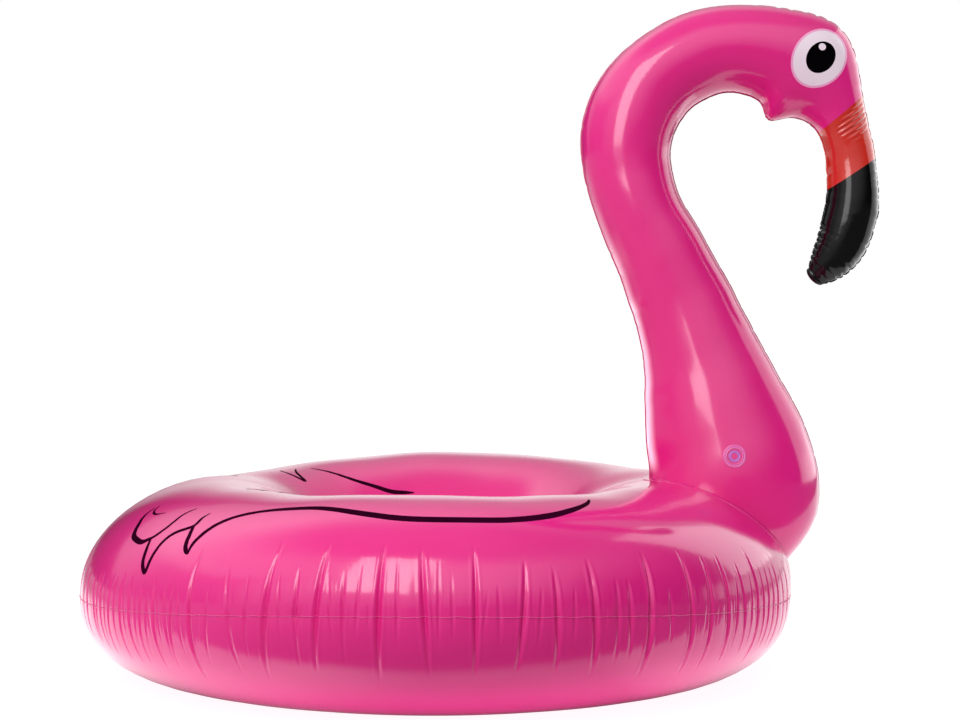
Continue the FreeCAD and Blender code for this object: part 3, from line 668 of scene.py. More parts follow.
ALONG_GRID = np.array(
    rows_between(foot_edge, orange_edge, SKIN_ROWS)
    + rows_between(orange_edge, black_edge, ORANGE_ROWS)
    + rows_between(black_edge, NECK_END, BLACK_ROWS)
    + [0 * black_edge + NECK_END + CAP_LENGTH * math.sin(k / CAP_ROWS * math.pi / 2) * 0.999
       for k in range(CAP_ROWS + 1)])
TURN_GRID = TURN[None, :] + 0 * ALONG_GRID
left_points = neck_points(ALONG_GRID, TURN_GRID)
_x, _z = middle_line(ALONG_GRID)[:2]
left_normals, left_flip = outward_normals(
    left_points, False, left_points - np.stack([_x, 0 * _x, _z], -1))

FIN_HEIGHT = 0.0018
FIN_HALF = 0.0006
# half section of the fin: height as a share, half thickness as a share
FIN_SECTION = [(1.0, 0.0), (1.0, 0.75), (0.82, 1.0), (0.35, 1.0), (0.0, 1.25), (-0.35, 1.8)]


def fin_strip(rows, column, sign):
    """One side's half of the weld fin along a grid column."""
    along = ALONG_GRID[rows, column]
    _, _, dir_x, dir_z = middle_line(along)
    back = column == 0
    out = np.stack([-dir_z, 0 * dir_z, dir_x], -1) * (1 if back else -1)
    seed = 3 if back else 4
    # the fin is calm on the neck, rough on the head and the beak
    rough = (0.35 + 0.9 * smoothstep(0.98, 1.02, along) * (1 - 0.5 * smoothstep(1.10, 1.14, along))
             + 0.5 * smoothstep(1.22, 1.26, along))
    cap = np.sqrt(np.clip(1 - ((along - NECK_END) / CAP_LENGTH) ** 2, 0.02, 1))
    uneven = 0.9 + 0.16 * rough * wave(along, seed, scale=0.030, octaves=3)
    height = FIN_HEIGHT * uneven * np.where(along > NECK_END, cap, 1)
    sway = 0.0006 * rough * wave(along, seed + 10, scale=0.034, octaves=3)
    columns = []
    for up, half in FIN_SECTION:
        q = left_points[rows, column] + out * (up * height)[:, None]
        q[:, 1] = sign * half * FIN_HALF + sway * max(up, 0)
        columns.append(q)
    return np.stack(columns, 1)


def neck_piece(name, first, last, side):
    """Neck between two grid rows on one side; its fins are loose strips in the second slot."""
    sign = 1 if side == "left" else -1
    mirror = np.array([1, sign, 1.0])
    parts = [(left_points[first:last + 1] * mirror, left_normals[first:last + 1] * mirror,
              left_flip != (sign < 0))]
    for column in (0, TURN_POINTS - 1):
        strip = fin_strip(np.arange(first, last + 1), column, sign)
        parts.append((strip, *outward_normals(strip, False, np.array([0, sign, 0]),
                                              part=slice(2, 4))))
    faces, slots, count = [], [], 0
    for number, (points, _, flip) in enumerate(parts):
        quads = grid_faces(*points.shape[:2], False, flip) + count
        faces.append(quads)
        slots.append(np.full(len(quads), min(number, 1)))
        count += points.shape[0] * points.shape[1]
    verts = np.concatenate([points.reshape(-1, 3) for points, _, _ in parts])
    normals = np.concatenate([n.reshape(-1, 3) for _, n, _ in parts])
    return make_mesh(name, verts, np.concatenate(faces), normals, np.concatenate(slots))


def mark_painted_back_sheen(ob, last):
    """Painted sheen: attribute that is strongest by the back weld between the foot and the bend;
    the neck material turns it into a pale glow that stands in for a reflection.
    """
    along, turn = ALONG_GRID[:last + 1], TURN_GRID[:last + 1]
    sheen_amount = (smoothstep(0.17, 0.21, along) * (1 - 0.65 * smoothstep(0.28, 0.56, along))
           * (1 - smoothstep(0.56, 0.68, along)) * (1 - smoothstep(0.9, 1.5, turn)))
    values = np.zeros(len(ob.data.vertices))
    values[:sheen_amount.size] = sheen_amount.reshape(-1)
    attribute = ob.data.attributes.new("painted_sheen_amount", "FLOAT", "POINT")
    attribute.data.foreach_set("value", values.astype(np.float32))


ORANGE_START = SKIN_ROWS
BLACK_START = SKIN_ROWS + ORANGE_ROWS
PIECES = {}
for side in SIDES:
    skin = neck_piece("neck_skin_" + side, 0, ORANGE_START, side)
    # painted sheen by the back weld, drawn as a pale glow in the neck material
    mark_painted_back_sheen(skin, ORANGE_START)
    PIECES["neck_skin_" + side] = skin
    for part, first, last in (("beak_orange_", ORANGE_START, BLACK_START),
                              ("beak_black_", BLACK_START, len(left_points) - 1)):
        PIECES[part + side] = neck_piece(part + side, first, last, side)

# section of the foot strip: distance out from the neck's foot, lift off the ring
FOOT_SECTION = [(-0.001, 0.0016), (0.0012, 0.0014), (0.0022, 0.0007), (0.0085, 0.0006),
                (0.0096, 0.0008), (0.0106, 0.0004), (0.0112, -0.0006)]


def ring_tube_angle(around, radius):
    """Tube angle at which the smooth ring has the given radius, by halving."""
    low, high = np.zeros(len(radius)) - 0.1, np.zeros(len(radius)) + 2.8
    for _ in range(40):
        tube = (low + high) / 2
        p = ring_smooth(around, tube)
        wide = np.hypot(p[:, 0] - CENTRE_X, p[:, 1] - CENTRE_Y) > radius
        low, high = np.where(wide, tube, low), np.where(wide, high, tube)
    return tube


def build_foot_strip():
    """Weld strip round the neck's foot, lying on the ring."""
    left = left_points[0]
    foot = np.concatenate([left, (left * np.array([1, -1, 1.0]))[::-1][1:-1]], 0)
    away = foot - foot.mean(0)
    away[:, 2] = 0
    away /= np.linalg.norm(away, axis=1)[:, None]
    columns = []
    for out, lift in FOOT_SECTION:
        q = foot + away * out
        dx, dy = q[:, 0] - CENTRE_X, q[:, 1] - CENTRE_Y
        around = np.arctan2(dy, dx)
        tube = ring_tube_angle(around, np.hypot(dx, dy))
        columns.append(ring_smooth(around, tube) + section_normal(around, tube) * lift)
    points = np.stack(columns, 1)
    up = np.array([0, 0, 1])
    return closed_sheet("foot_weld_strip", points, *outward_normals(points, True, up))


foot_strip = build_foot_strip()

# ------------------------------------------------------------ camera
CAMERA_PLACE = (0.120, -3.0, 0.5607)
CAMERA_DIRECTION = (-0.01854147299, 1.0, -0.02892263196)
camera_data = bpy.data.cameras.new("camera")
camera_data.sensor_width = 36.0
camera_data.lens = 72.6075
camera = bpy.data.objects.new("camera", camera_data)
bpy.context.scene.collection.objects.link(camera)
camera.location = CAMERA_PLACE
camera.rotation_mode = "QUATERNION"
camera.rotation_quaternion = Vector(CAMERA_DIRECTION).to_track_quat("-Z", "Y")
bpy.context.scene.camera = camera

# ------------------------------------------------------------ printed eye
SKIN_TREES = {side: tree_of(PIECES["neck_skin_" + side]) for side in SIDES}
FLAT_NORMALS = left_normals.reshape(-1, 3)
skin_kd = KDTree(SKIN_ROWS * TURN_POINTS)
for number, point in enumerate(left_points[:SKIN_ROWS].reshape(-1, 3)):
    skin_kd.insert(point, number)
skin_kd.balance()


def skin_normal(point, sign):
    """Smooth skin normal, weighted from the six nearest grid points of the left half."""
    normal = Vector((0, 0, 0))
    for _, i, distance in skin_kd.find_n(Vector((point[0], point[1] * sign, point[2])), 6):
        normal += Vector(FLAT_NORMALS[i]) / (distance + 1e-4)
    normal.normalize()
    return Vector((normal.x, normal.y * sign, normal.z))


def disc_patch(name, side, centre, radii, tilt, lift, rings, spokes=96, inner=0.0):
    """Elliptical patch of ink, drawn in the XZ plane and laid on the head from the side.
    An inner share above 0 leaves a hole."""
    sign = 1 if side == "left" else -1
    cos_tilt, sin_tilt = math.cos(tilt), math.sin(tilt)
    verts, normals, grid = [], [], []
    for i in range(rings + 1):
        share = inner + (1 - inner) * i / rings
        row = []
        for j in range(spokes):
            if i == 0 and inner == 0 and j > 0:
                row.append(row[0])
                continue
            angle = 2 * math.pi * j / spokes
            u, v = radii[0] * share * math.cos(angle), radii[1] * share * math.sin(angle)
            x = centre[0] + u * cos_tilt - v * sin_tilt
            z = centre[1] + u * sin_tilt + v * cos_tilt
            hit = SKIN_TREES[side].ray_cast(Vector((x, 0.4 * sign, z)), Vector((0, -sign, 0)))[0]
            # a point beside the head falls on the plane of symmetry
            if hit is None:
                hit = Vector((x, 0.0, z))
            normal = skin_normal(hit, sign)
            row.append(len(verts))
            verts.append(hit + normal * (lift if share < 0.999 else lift * 0.4))
            normals.append(normal)
        grid.append(row)
    faces = []
    for inside, outside in zip(grid, grid[1:]):
        for j in range(spokes):
            k = (j + 1) % spokes
            face = without_repeats([inside[j], outside[j], outside[k], inside[k]])
            faces.append(face[::-1] if sign > 0 else face)
    return make_mesh(name, verts, faces, normals)


EYE_CENTRE = (0.5781, 0.9324)
EYE_RADII = (0.0459, 0.0381)
EYE_TILT = math.radians(48.4)
HALO_WIDTH = 0.0026
for side in SIDES:
    PIECES["eye_halo_" + side] = disc_patch(
        "eye_halo_" + side, side, EYE_CENTRE, [r + HALO_WIDTH for r in EYE_RADII], EYE_TILT,
        lift=0.00025, rings=3, inner=0.92)
    PIECES["eye_white_" + side] = disc_patch(
        "eye_white_disc_" + side, side, EYE_CENTRE, EYE_RADII, EYE_TILT, lift=0.00040, rings=22)
    PIECES["eye_pupil_" + side] = disc_patch(
        "eye_pupil_disc_" + side, side, centre=(0.5798, 0.9330), radii=(0.0266, 0.0216),
        tilt=math.radians(50), lift=0.00065, rings=14)
    PIECES["eye_glint_" + side] = disc_patch(
        "eye_glint_disc_" + side, side, centre=(0.5818, 0.9485), radii=(0.0064, 0.0061),
        tilt=0.0, lift=0.0009, rings=5, spokes=40)

# ------------------------------------------------------------ printed wing lines
# strokes on the -Y side: degrees round the ring, degrees round the tube, width in mm
STROKES = [
    [(-128.7, 31.5, 2.88), (-128.9, 37.3, 6.48), (-128.3, 43.7, 7.92), (-127.0, 50.7, 8.28),
     (-124.3, 57.4, 8.28), (-120.7, 61.7, 8.64), (-117.0, 63.9, 9.72), (-112.3, 64.9, 11.16),
     (-108.2, 64.2, 12.24), (-102.4, 60.5, 13.68), (-95.8, 56.2, 14.04), (-89.9, 54.4, 13.68),
     (-83.9, 53.7, 13.32), (-78.0, 53.5, 13.32), (-73.9, 54.8, 13.68), (-69.2, 57.8, 14.04),
     (-63.6, 63.9, 11.88), (-58.6, 71.0, 7.56), (-55.8, 77.5, 2.88)],
    [(-151.9, 58.3, 2.16), (-151.2, 52.2, 6.12), (-149.2, 45.9, 8.28), (-147.3, 40.4, 9.0),
     (-145.1, 38.1, 9.0), (-142.8, 37.1, 8.64), (-141.5, 38.8, 7.56), (-140.6, 40.4, 6.48),
     (-139.4, 45.5, 6.12), (-139.0, 51.5, 5.76), (-138.9, 57.4, 4.68), (-137.7, 62.1, 1.8)],
    [(-140.9, 39.7, 4.68), (-139.7, 32.5, 6.84), (-138.9, 26.9, 7.2), (-137.9, 22.8, 7.2),
     (-137.0, 21.2, 6.84), (-137.0, 26.4, 6.48), (-137.0, 33.4, 6.48), (-136.5, 40.0, 6.84),
     (-134.8, 45.1, 7.2), (-132.4, 48.7, 6.84), (-132.4, 53.9, 5.76), (-132.1, 58.8, 2.16)],
    [(-132.2, 48.1, 5.76), (-131.2, 42.4, 7.2), (-130.4, 36.8, 7.56), (-129.4, 33.0, 7.2),
     (-128.7, 31.5, 2.88)],
    [(-151.3, 60.3, 1.8), (-150.4, 56.8, 3.6), (-148.9, 54.8, 4.32), (-147.3, 54.6, 3.6),
     (-145.3, 56.4, 1.44)],
    [(-143.9, 95.4, 2.16), (-145.6, 106.0, 5.04), (-146.5, 116.2, 6.48), (-142.8, 106.0, 5.04),
     (-138.3, 96.6, 2.16)],
    [(-134.0, 99.6, 2.16), (-131.2, 109.4, 6.12), (-126.4, 122.2, 8.28), (-119.0, 132.0, 9.36),
     (-113.5, 136.9, 9.72), (-107.9, 138.4, 8.28), (-103.5, 139.0, 2.52)],
]
STROKE_STEPS = 12  # between two listed points
STROKE_COLUMNS = (-1, -0.5, 0, 0.5, 1)  # across, as shares of the half width
UPPER_TREE = tree_of(upper)


def film_at(around, tube):
    """Point and normal of the upper film, between its four nearest grid points."""
    place = float(np.interp(around % (2 * math.pi), np.append(AROUND, 2 * math.pi),
                            np.arange(RING_COLUMNS + 1)))
    i = int(place) % RING_COLUMNS
    after = (i + 1) % RING_COLUMNS
    row = TUBE_ROW[0]
    j = int(np.clip(np.searchsorted(row, tube) - 1, 0, len(row) - 2))
    u = place - int(place)
    v = float(np.clip((tube - row[j]) / (row[j + 1] - row[j]), 0, 1))
    point, normal = ((1 - u) * (1 - v) * g[i, j] + u * (1 - v) * g[after, j]
                     + (1 - u) * v * g[i, j + 1] + u * v * g[after, j + 1]
                     for g in (upper_points, upper_normals))
    normal = normal / np.linalg.norm(normal)
    if normal[2] * math.sin(tube) < 0 and abs(math.sin(tube)) > 0.1:
        normal = -normal
    return point, normal


def on_film(point, normal):
    """The point dropped along the normal onto the film, or itself where the ray misses."""
    hit = UPPER_TREE.ray_cast(Vector(point + normal * 0.02), Vector(-normal), 0.05)[0]
    return point if hit is None else np.array(hit)


def add_stroke(listed, mirror, verts, faces, normals):
    """Ribbon of ink along a stroke; mirror puts it on the +Y side."""
    knots = np.arange(len(listed))
    degrees_around, degrees_tube, width_mm = np.array(listed, float).T
    q = np.linspace(0, len(listed) - 1, (len(listed) - 1) * STROKE_STEPS + 1)
    around = np.radians(spline(knots, degrees_around)(q)) * (-1 if mirror else 1)
    tube = np.radians(spline(knots, degrees_tube)(q))
    width = np.interp(q, knots, width_mm) * 0.001
    middle, up = (np.array(v) for v in zip(*map(film_at, around, tube)))
    ahead = np.gradient(middle, axis=0)
    ahead /= np.maximum(np.linalg.norm(ahead, axis=1)[:, None], 1e-9)
    sideways = np.cross(up, ahead)
    sideways /= np.linalg.norm(sideways, axis=1)[:, None]
    columns = []
    for k in STROKE_COLUMNS:
        flat = middle + sideways * (k * width / 2)[:, None]
        lift = 0.00045 if abs(k) < 1 else 0.0002
        columns.append(np.array([on_film(p, n) for p, n in zip(flat, up)]) + up * lift)
    base, count = len(verts), len(columns)
    verts.extend(np.stack(columns, 1).reshape(-1, 3))
    normals.extend(np.repeat(up, count, axis=0))
    for i in range(len(middle) - 1):
        for k in range(count - 1):
            a = base + i * count + k
            quad = (a, a + 1, a + count + 1, a + count)
            facing = np.cross(verts[a + 1] - verts[a], verts[a + count] - verts[a])
            faces.append(quad[::-1] if np.dot(facing, up[i]) < 0 else quad)


wing_verts, wing_faces, wing_normals = [], [], []
for listed in STROKES:
    for mirror in (False, True):
        add_stroke(listed, mirror, wing_verts, wing_faces, wing_normals)
wing = make_mesh("wing_lines", wing_verts, wing_faces, wing_normals)

# ------------------------------------------------------------ valves
VALVE_BODIES = {"ring_valve": "float", "neck_valve": "neck"}
# turned parts: object name ending, corner rounding in mm, (radius, height out of film) in mm
VALVE_PARTS = {
    "flange": ("flange_ring", 0.25, [
        (17.6, -1.2), (17.5, 0.3), (16.2, 1.15), (14.9, 1.15), (14.3, 0.65), (13.5, 0.65),
        (12.9, 1.7), (11.9, 1.9), (11.3, 1.2), (11.3, -0.6), (12.2, -1.2), (17.6, -1.2)]),
    "skirt": ("soft_skirt", 0.4, [
        (11.9, 0.9), (11.75, -2.2), (11.2, -4.4), (11.7, -6.2), (11.0, -8.2), (9.0, -8.9),
        (8.65, -8.2), (10.2, -7.6), (10.9, -6.0), (10.4, -4.4), (11.0, -2.2), (11.25, 0.9),
        (11.9, 0.9)]),
    "stem": ("stem_tube", 0.3, [
        (4.55, -24.0), (6.2, -24.0), (6.5, -23.5), (6.5, -9.4), (8.4, -9.1), (8.4, -7.8),
        (6.6, -7.5), (6.5, -2.0), (6.2, -1.65), (4.8, -1.65), (4.55, -2.0), (4.55, -24.0)]),
    "stopper": ("stopper_plug", 0.2, [
        (0, -0.3), (3.6, -0.35), (4.5, 0.1), (5.0, 0.95), (5.8, 1.05), (6.2, 0.5), (7.6, 0.45),
        (8.4, 0.75), (8.95, 0.35), (9.0, -0.6), (8.6, -1.3), (4.9, -1.45), (4.42, -1.9),
        (4.42, -9.8), (4.1, -10.9), (3.2, -11.0), (3.2, -2.6), (0, -2.6)]),
    "tether": ("tether_strap", 0.2, [
        (6.6, -4.2), (8.2, -4.15), (8.2, -3.25), (6.6, -3.2), (6.6, -4.2)]),
    "flap": ("check_flap", 0.2, [
        (0, -24.1), (5.9, -24.1), (6.2, -24.4), (5.9, -24.7), (0, -24.7)]),
}
# bent strap of the tether, from the loop out to the stopper, (x, z) in mm
TETHER_PATH = [(7.6, -3.7), (9.4, -3.7), (10.3, -3.4), (10.55, -2.6), (10.55, -1.6),
               (10.3, -0.9), (9.8, -0.7), (9.1, -0.7)]
# half section of a strap: shares of half the width and half the thickness
STRAP_SECTION = [(-1, -0.7), (-0.8, -1), (0.8, -1), (1, -0.7), (1, 0.7), (0.8, 1), (-0.8, 1),
                 (-1, 0.7)]
JOINTS = {joint["name"]: joint for joint in frame["joints"]}


def from_mm(points):
    return [(a / 1000.0, b / 1000.0) for a, b in points]


def rounded(points, radius, steps=4):
    """Profile with each inner corner rounded by about the radius."""
    out = [points[0]]
    for before, corner, after in zip(points, points[1:], points[2:]):
        before, corner, after = np.array(before), np.array(corner), np.array(after)
        length_in, length_out = np.linalg.norm(before - corner), np.linalg.norm(after - corner)
        cut = min(radius, length_in * 0.45, length_out * 0.45)
        a = corner + (before - corner) / length_in * cut
        b = corner + (after - corner) / length_out * cut
        for i in range(steps + 1):
            t = i / steps
            out.append(tuple((1 - t) ** 2 * a + 2 * t * (1 - t) * corner + t * t * b))
    out.append(points[-1])
    return out


def lathe(profile, spokes=72):
    """Verts and faces turned about local z; a radius of 0 closes to a point."""
    verts, faces, rings = [], [], []
    for r, z in profile:
        if r <= 1e-9:
            rings.append([len(verts)] * spokes)
            verts.append((0, 0, z))
            continue
        rings.append(list(range(len(verts), len(verts) + spokes)))
        for i in range(spokes):
            angle = 2 * math.pi * i / spokes
            verts.append((r * math.cos(angle), r * math.sin(angle), z))
    for a, b in zip(rings, rings[1:]):
        for i in range(spokes):
            k = (i + 1) % spokes
            face = without_repeats([a[i], a[k], b[k], b[i]])
            if len(face) > 2:
                faces.append(face)
    return verts, faces


def strap(path, width, thickness):
    """Bent strip through (x, z) points, its width along y."""
    path = np.array(path)
    ahead = np.gradient(path, axis=0)
    ahead /= np.linalg.norm(ahead, axis=1)[:, None]
    verts = []
    for p, direction in zip(path, ahead):
        normal = np.array([-direction[1], direction[0]])
        for across, up in STRAP_SECTION:
            q = p + normal * up * thickness / 2
            verts.append((q[0], across * width / 2, q[1]))
    count = len(STRAP_SECTION)
    faces = []
    for start in range(0, (len(path) - 1) * count, count):
        for j in range(count):
            a, b = start + j, start + (j + 1) % count
            faces.append([a, b, b + count, a + count])
    faces.append(list(range(count)))
    faces.append(list(range(len(verts) - count, len(verts)))[::-1])
    return verts, faces


def valve_matrix(valve):
    """Placement with z out of the film and y along the flap's hinge."""
    low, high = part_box(valve + "_flange")
    z = Vector(JOINTS[valve + "_pop_out"]["axis"]).normalized()
    centre = (low + high) / 2 - z * 0.0005
    y = Vector(JOINTS[valve + "_flap_swing"]["axis"]).normalized()
    x = y.cross(z).normalized()
    return Matrix([(x[i], y[i], z[i], centre[i]) for i in range(3)] + [(0, 0, 0, 1)])


def valve_part(name, profile, matrix, extra):
    """Turned part, with extra verts and faces, sharp along edges over 50 degrees."""
    verts, faces = lathe(profile)
    faces += [[i + len(verts) for i in face] for face in extra[1]]
    verts += extra[0]
    ob = make_mesh(name, [matrix @ Vector(v) for v in verts], faces)
    ob.data.validate()
    bm = bmesh.new()
    bm.from_mesh(ob.data)
    bmesh.ops.recalc_face_normals(bm, faces=bm.faces)
    for edge in bm.edges:
        sharp = len(edge.link_faces) == 2 and edge.calc_face_angle(0) > math.radians(50)
        edge.smooth = not sharp
    bm.to_mesh(ob.data)
    bm.free()
    return ob


for valve in VALVE_BODIES:
    matrix = valve_matrix(valve)
    for part, (ending, rounding, profile) in VALVE_PARTS.items():
        extra = ([], [])
        if part == "tether":
            extra = strap(from_mm(TETHER_PATH), width=0.0036, thickness=0.0008)
        PIECES[f"{valve}_{part}"] = valve_part(
            f"{valve}_{ending}", rounded(from_mm(profile), rounding / 1000), matrix, extra)


# ------------------------------------------------------------ shader helpers
def set_inputs(tree, node, inputs):
    """Link each socket given and set each plain value."""
    for slot, value in inputs.items():
        if isinstance(value, bpy.types.NodeSocket):
            tree.links.new(value, node.inputs[slot])
        else:
            node.inputs[slot].default_value = value


def add_node(tree, kind, inputs, **settings):
    node = tree.nodes.new("ShaderNode" + kind)
    for key, value in settings.items():
        setattr(node, key, value)
    set_inputs(tree, node, inputs)
    return node


def node_math(tree, operation, *values):
    return add_node(tree, "Math", dict(enumerate(values)), operation=operation).outputs[0]


def node_step(tree, value, span, levels=(0.0, 1.0)):
    """Smooth change between two levels as the value crosses the span."""
    inputs = {"From Min": span[0], "From Max": span[1], "To Min": levels[0],
              "To Max": levels[1], "Value": value}
    return add_node(tree, "MapRange", inputs, interpolation_type="SMOOTHSTEP").outputs["Result"]


def node_mix(tree, factor, a, b):
    inputs = {"Factor": factor, 2: a, 3: b}
    return add_node(tree, "Mix", inputs, data_type="FLOAT").outputs[0]


def node_noise(tree, vector, scale, detail, roughness=0.5):
    inputs = {"Scale": scale, "Detail": detail, "Roughness": roughness, "Vector": vector}
    return add_node(tree, "TexNoise", inputs).outputs["Fac"]


def node_ramp(tree, factor, colours, positions=(0.0, 1.0)):
    ramp = add_node(tree, "ValToRGB", {"Fac": factor})
    for stop, colour, position in zip(ramp.color_ramp.elements, colours, positions):
        stop.position = position
        stop.color = (*colour, 1)
    return ramp.outputs["Color"]


def new_material(name):
    material = bpy.data.materials.new(name)
    material.use_nodes = True
    return material, material.node_tree, material.node_tree.nodes["Principled BSDF"]


def srgb(*levels):
    """Linear colour from 0-255 levels."""
    return tuple(((c / 255 + 0.055) / 1.055) ** 2.4 if c > 10 else c / 255 / 12.92
                 for c in levels)


# ------------------------------------------------------------ materials
def vinyl(name, dark, light, rough=0.16, sss=0.12, coat=0.35, grain=1.0, specular=0.5,
          ior=1.52):
    """Soft glossy vinyl: cloudy colour, faint haze in the gloss and a very fine orange-peel."""
    material, tree, shader = new_material(name)
    place = add_node(tree, "TexCoord", {}).outputs["Object"]
    noise = partial(node_noise, tree, place)
    broad = noise(scale=3.2, detail=4.0, roughness=0.55)
    fine = noise(scale=38.0, detail=5.0, roughness=0.6)
    clouds = node_math(tree, "MULTIPLY_ADD", fine, 0.35, broad)
    haze = noise(scale=9.0, detail=4.0, roughness=0.6)
    gloss = add_node(tree, "MapRange", {"Value": haze, "To Min": max(0.02, rough - 0.05),
                                        "To Max": rough + 0.05})
    peel = noise(scale=260.0, detail=3.0)
    dimples = noise(scale=26.0, detail=3.0)
    relief = node_math(tree, "MULTIPLY_ADD", dimples, 4.0, peel)
    bump = add_node(tree, "Bump", {"Strength": 0.05 * grain, "Distance": 0.001,
                                   "Height": relief})
    set_inputs(tree, shader, {
        "Base Color": node_ramp(tree, clouds, (dark, light), positions=(0.42, 0.98)),
        "Roughness": gloss.outputs["Result"],
        "IOR": ior,
        "Specular IOR Level": specular,
        "Coat Weight": coat,
        "Coat Roughness": 0.06,
        "Normal": bump.outputs["Normal"],
    })
    if sss:
        set_inputs(tree, shader, {"Subsurface Weight": sss, "Subsurface Scale": 0.012,
                                  "Subsurface Radius": (1.0, 0.25, 0.35)})
    return material


def add_painted_back_sheen(material):
    """Painted reflection: pale glow at grazing angles where the painted sheen attribute is strong,
    along the neck's back weld.
    """
    tree = material.node_tree
    sheen_amount = add_node(tree, "Attribute", {}, attribute_name="painted_sheen_amount").outputs["Fac"]
    facing = add_node(tree, "LayerWeight", {"Blend": 0.5}).outputs["Facing"]
    grazing = node_step(tree, facing, span=(0.40, 0.70))
    set_inputs(tree, tree.nodes["Principled BSDF"], {
        "Emission Strength": node_math(tree, "MULTIPLY", sheen_amount, grazing),
        "Emission Color": (0.80, 0.66, 0.76, 1),
    })


ring_vinyl = vinyl("pink_ring_vinyl", (0.71, 0.0135, 0.207), (0.76, 0.0185, 0.237))
neck_vinyl = vinyl("pink_neck_vinyl", (0.71, 0.0125, 0.207), (0.76, 0.0175, 0.237))
# painted reflection: a pale glow along the neck's back weld
add_painted_back_sheen(neck_vinyl)
# painted shade: the inside lip and the neck's fins are drawn a darker pink than the film, standing
# in for the dark line their thin edges show; the welded film itself is the film's pink
weld_painted_shade_vinyl = vinyl("pink_weld_painted_shade_vinyl", srgb(176, 16, 88), srgb(204, 36, 112), rough=0.28,
                   coat=0.1, grain=3.0)
# painted light: the outside lip is drawn a lighter pink than the film, to offset the shade that
# makes the thin lip look grey
seam_painted_light_vinyl = vinyl("pink_seam_painted_light_vinyl", srgb(222, 60, 138), srgb(234, 92, 160), rough=0.35,
                   coat=0.0, grain=3.0)
orange_vinyl = vinyl("orange_vinyl", srgb(196, 34, 26), srgb(206, 46, 34), sss=0.06)
black_vinyl = vinyl("black_vinyl", (0.0006, 0.0006, 0.0008), (0.0016, 0.0016, 0.0019), sss=0.0,
                    rough=0.12, coat=0.0, specular=0.33)
white_ink = vinyl("white_ink", srgb(234, 213, 228), srgb(240, 222, 234), sss=0.0, rough=0.2)
halo_ink = vinyl("pale_pink_ink", srgb(236, 150, 196), srgb(240, 165, 206), sss=0.0, rough=0.2)
black_ink = vinyl("black_ink", srgb(3, 2, 3), srgb(10, 6, 9), sss=0.0, rough=0.3, coat=0.0,
                  specular=0.1, ior=1.03)
wing_ink = vinyl("wing_ink", srgb(30, 1, 18), srgb(52, 3, 34), sss=0.0, rough=0.34, coat=0.0,
                 specular=0.1, ior=1.03)
valve_vinyl = vinyl("valve_vinyl", srgb(226, 92, 168), srgb(238, 124, 190), sss=0.2, rough=0.2)
stopper_vinyl = vinyl("stopper_vinyl", srgb(178, 88, 188), srgb(204, 124, 212), sss=0.2)
flap_vinyl = vinyl("flap_vinyl", srgb(214, 210, 222), srgb(228, 226, 236), sss=0.1, rough=0.2)


# ------------------------------------------------------------ materials and bodies on pieces
def dress(ob, materials, body, slot, *replaced):
    for material in materials:
        ob.data.materials.append(material)
    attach(ob, body)
    if replaced:
        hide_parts(*replaced)


dress(upper, [ring_vinyl], "float", "pink_film", "ring_upper_sheet")
dress(lower, [ring_vinyl], "float", "pink_film", "ring_lower_sheet")
# painted light: the outside lip in the lighter pink
dress(outer_lip, [seam_painted_light_vinyl], "float", "pink_weld", "ring_outer_weld")
# painted shade: the inside lip in the darker pink
dress(inner_lip, [weld_painted_shade_vinyl], "float", "pink_weld", "ring_inner_weld")
dress(foot_strip, [neck_vinyl], "float", "pink_weld", "neck_foot_weld")
dress(wing, [wing_ink], "float", "black_ink")
for side in SIDES:
    skin = PIECES["neck_skin_" + side]
    skin.data.materials.append(neck_vinyl)
    # the second slot holds the fins, in the darker pink of painted shade
    skin.data.materials.append(weld_painted_shade_vinyl)
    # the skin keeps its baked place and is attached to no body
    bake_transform(skin)
    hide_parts("neck_foot_" + side, "neck_panel_" + side)
    dress(PIECES["beak_orange_" + side], [orange_vinyl] * 2, "neck", "orange_film",
          "beak_band_" + side)
    dress(PIECES["beak_black_" + side], [black_vinyl] * 2, "neck", "black_film",
          "beak_tip_" + side)
    dress(PIECES["eye_halo_" + side], [halo_ink], "neck", "white_ink")
    for part, ink, slot in (("eye_white_", white_ink, "white_ink"),
                            ("eye_pupil_", black_ink, "black_ink"),
                            ("eye_glint_", white_ink, "white_ink")):
        dress(PIECES[part + side], [ink], "neck", slot, part + side)
for valve, body in VALVE_BODIES.items():
    for part, material, part_body, slot in (
            ("flange", valve_vinyl, body, "valve_vinyl"),
            ("skirt", valve_vinyl, body, "valve_vinyl"),
            ("stem", valve_vinyl, valve + "_stem", "valve_vinyl"),
            ("stopper", stopper_vinyl, valve + "_stopper", "valve_vinyl"),
            ("tether", valve_vinyl, valve + "_stem", "valve_vinyl"),
            ("flap", flap_vinyl, valve + "_flap", "flap_vinyl")):
        name = f"{valve}_{part}"
        dress(PIECES[name], [material], part_body, slot, name)


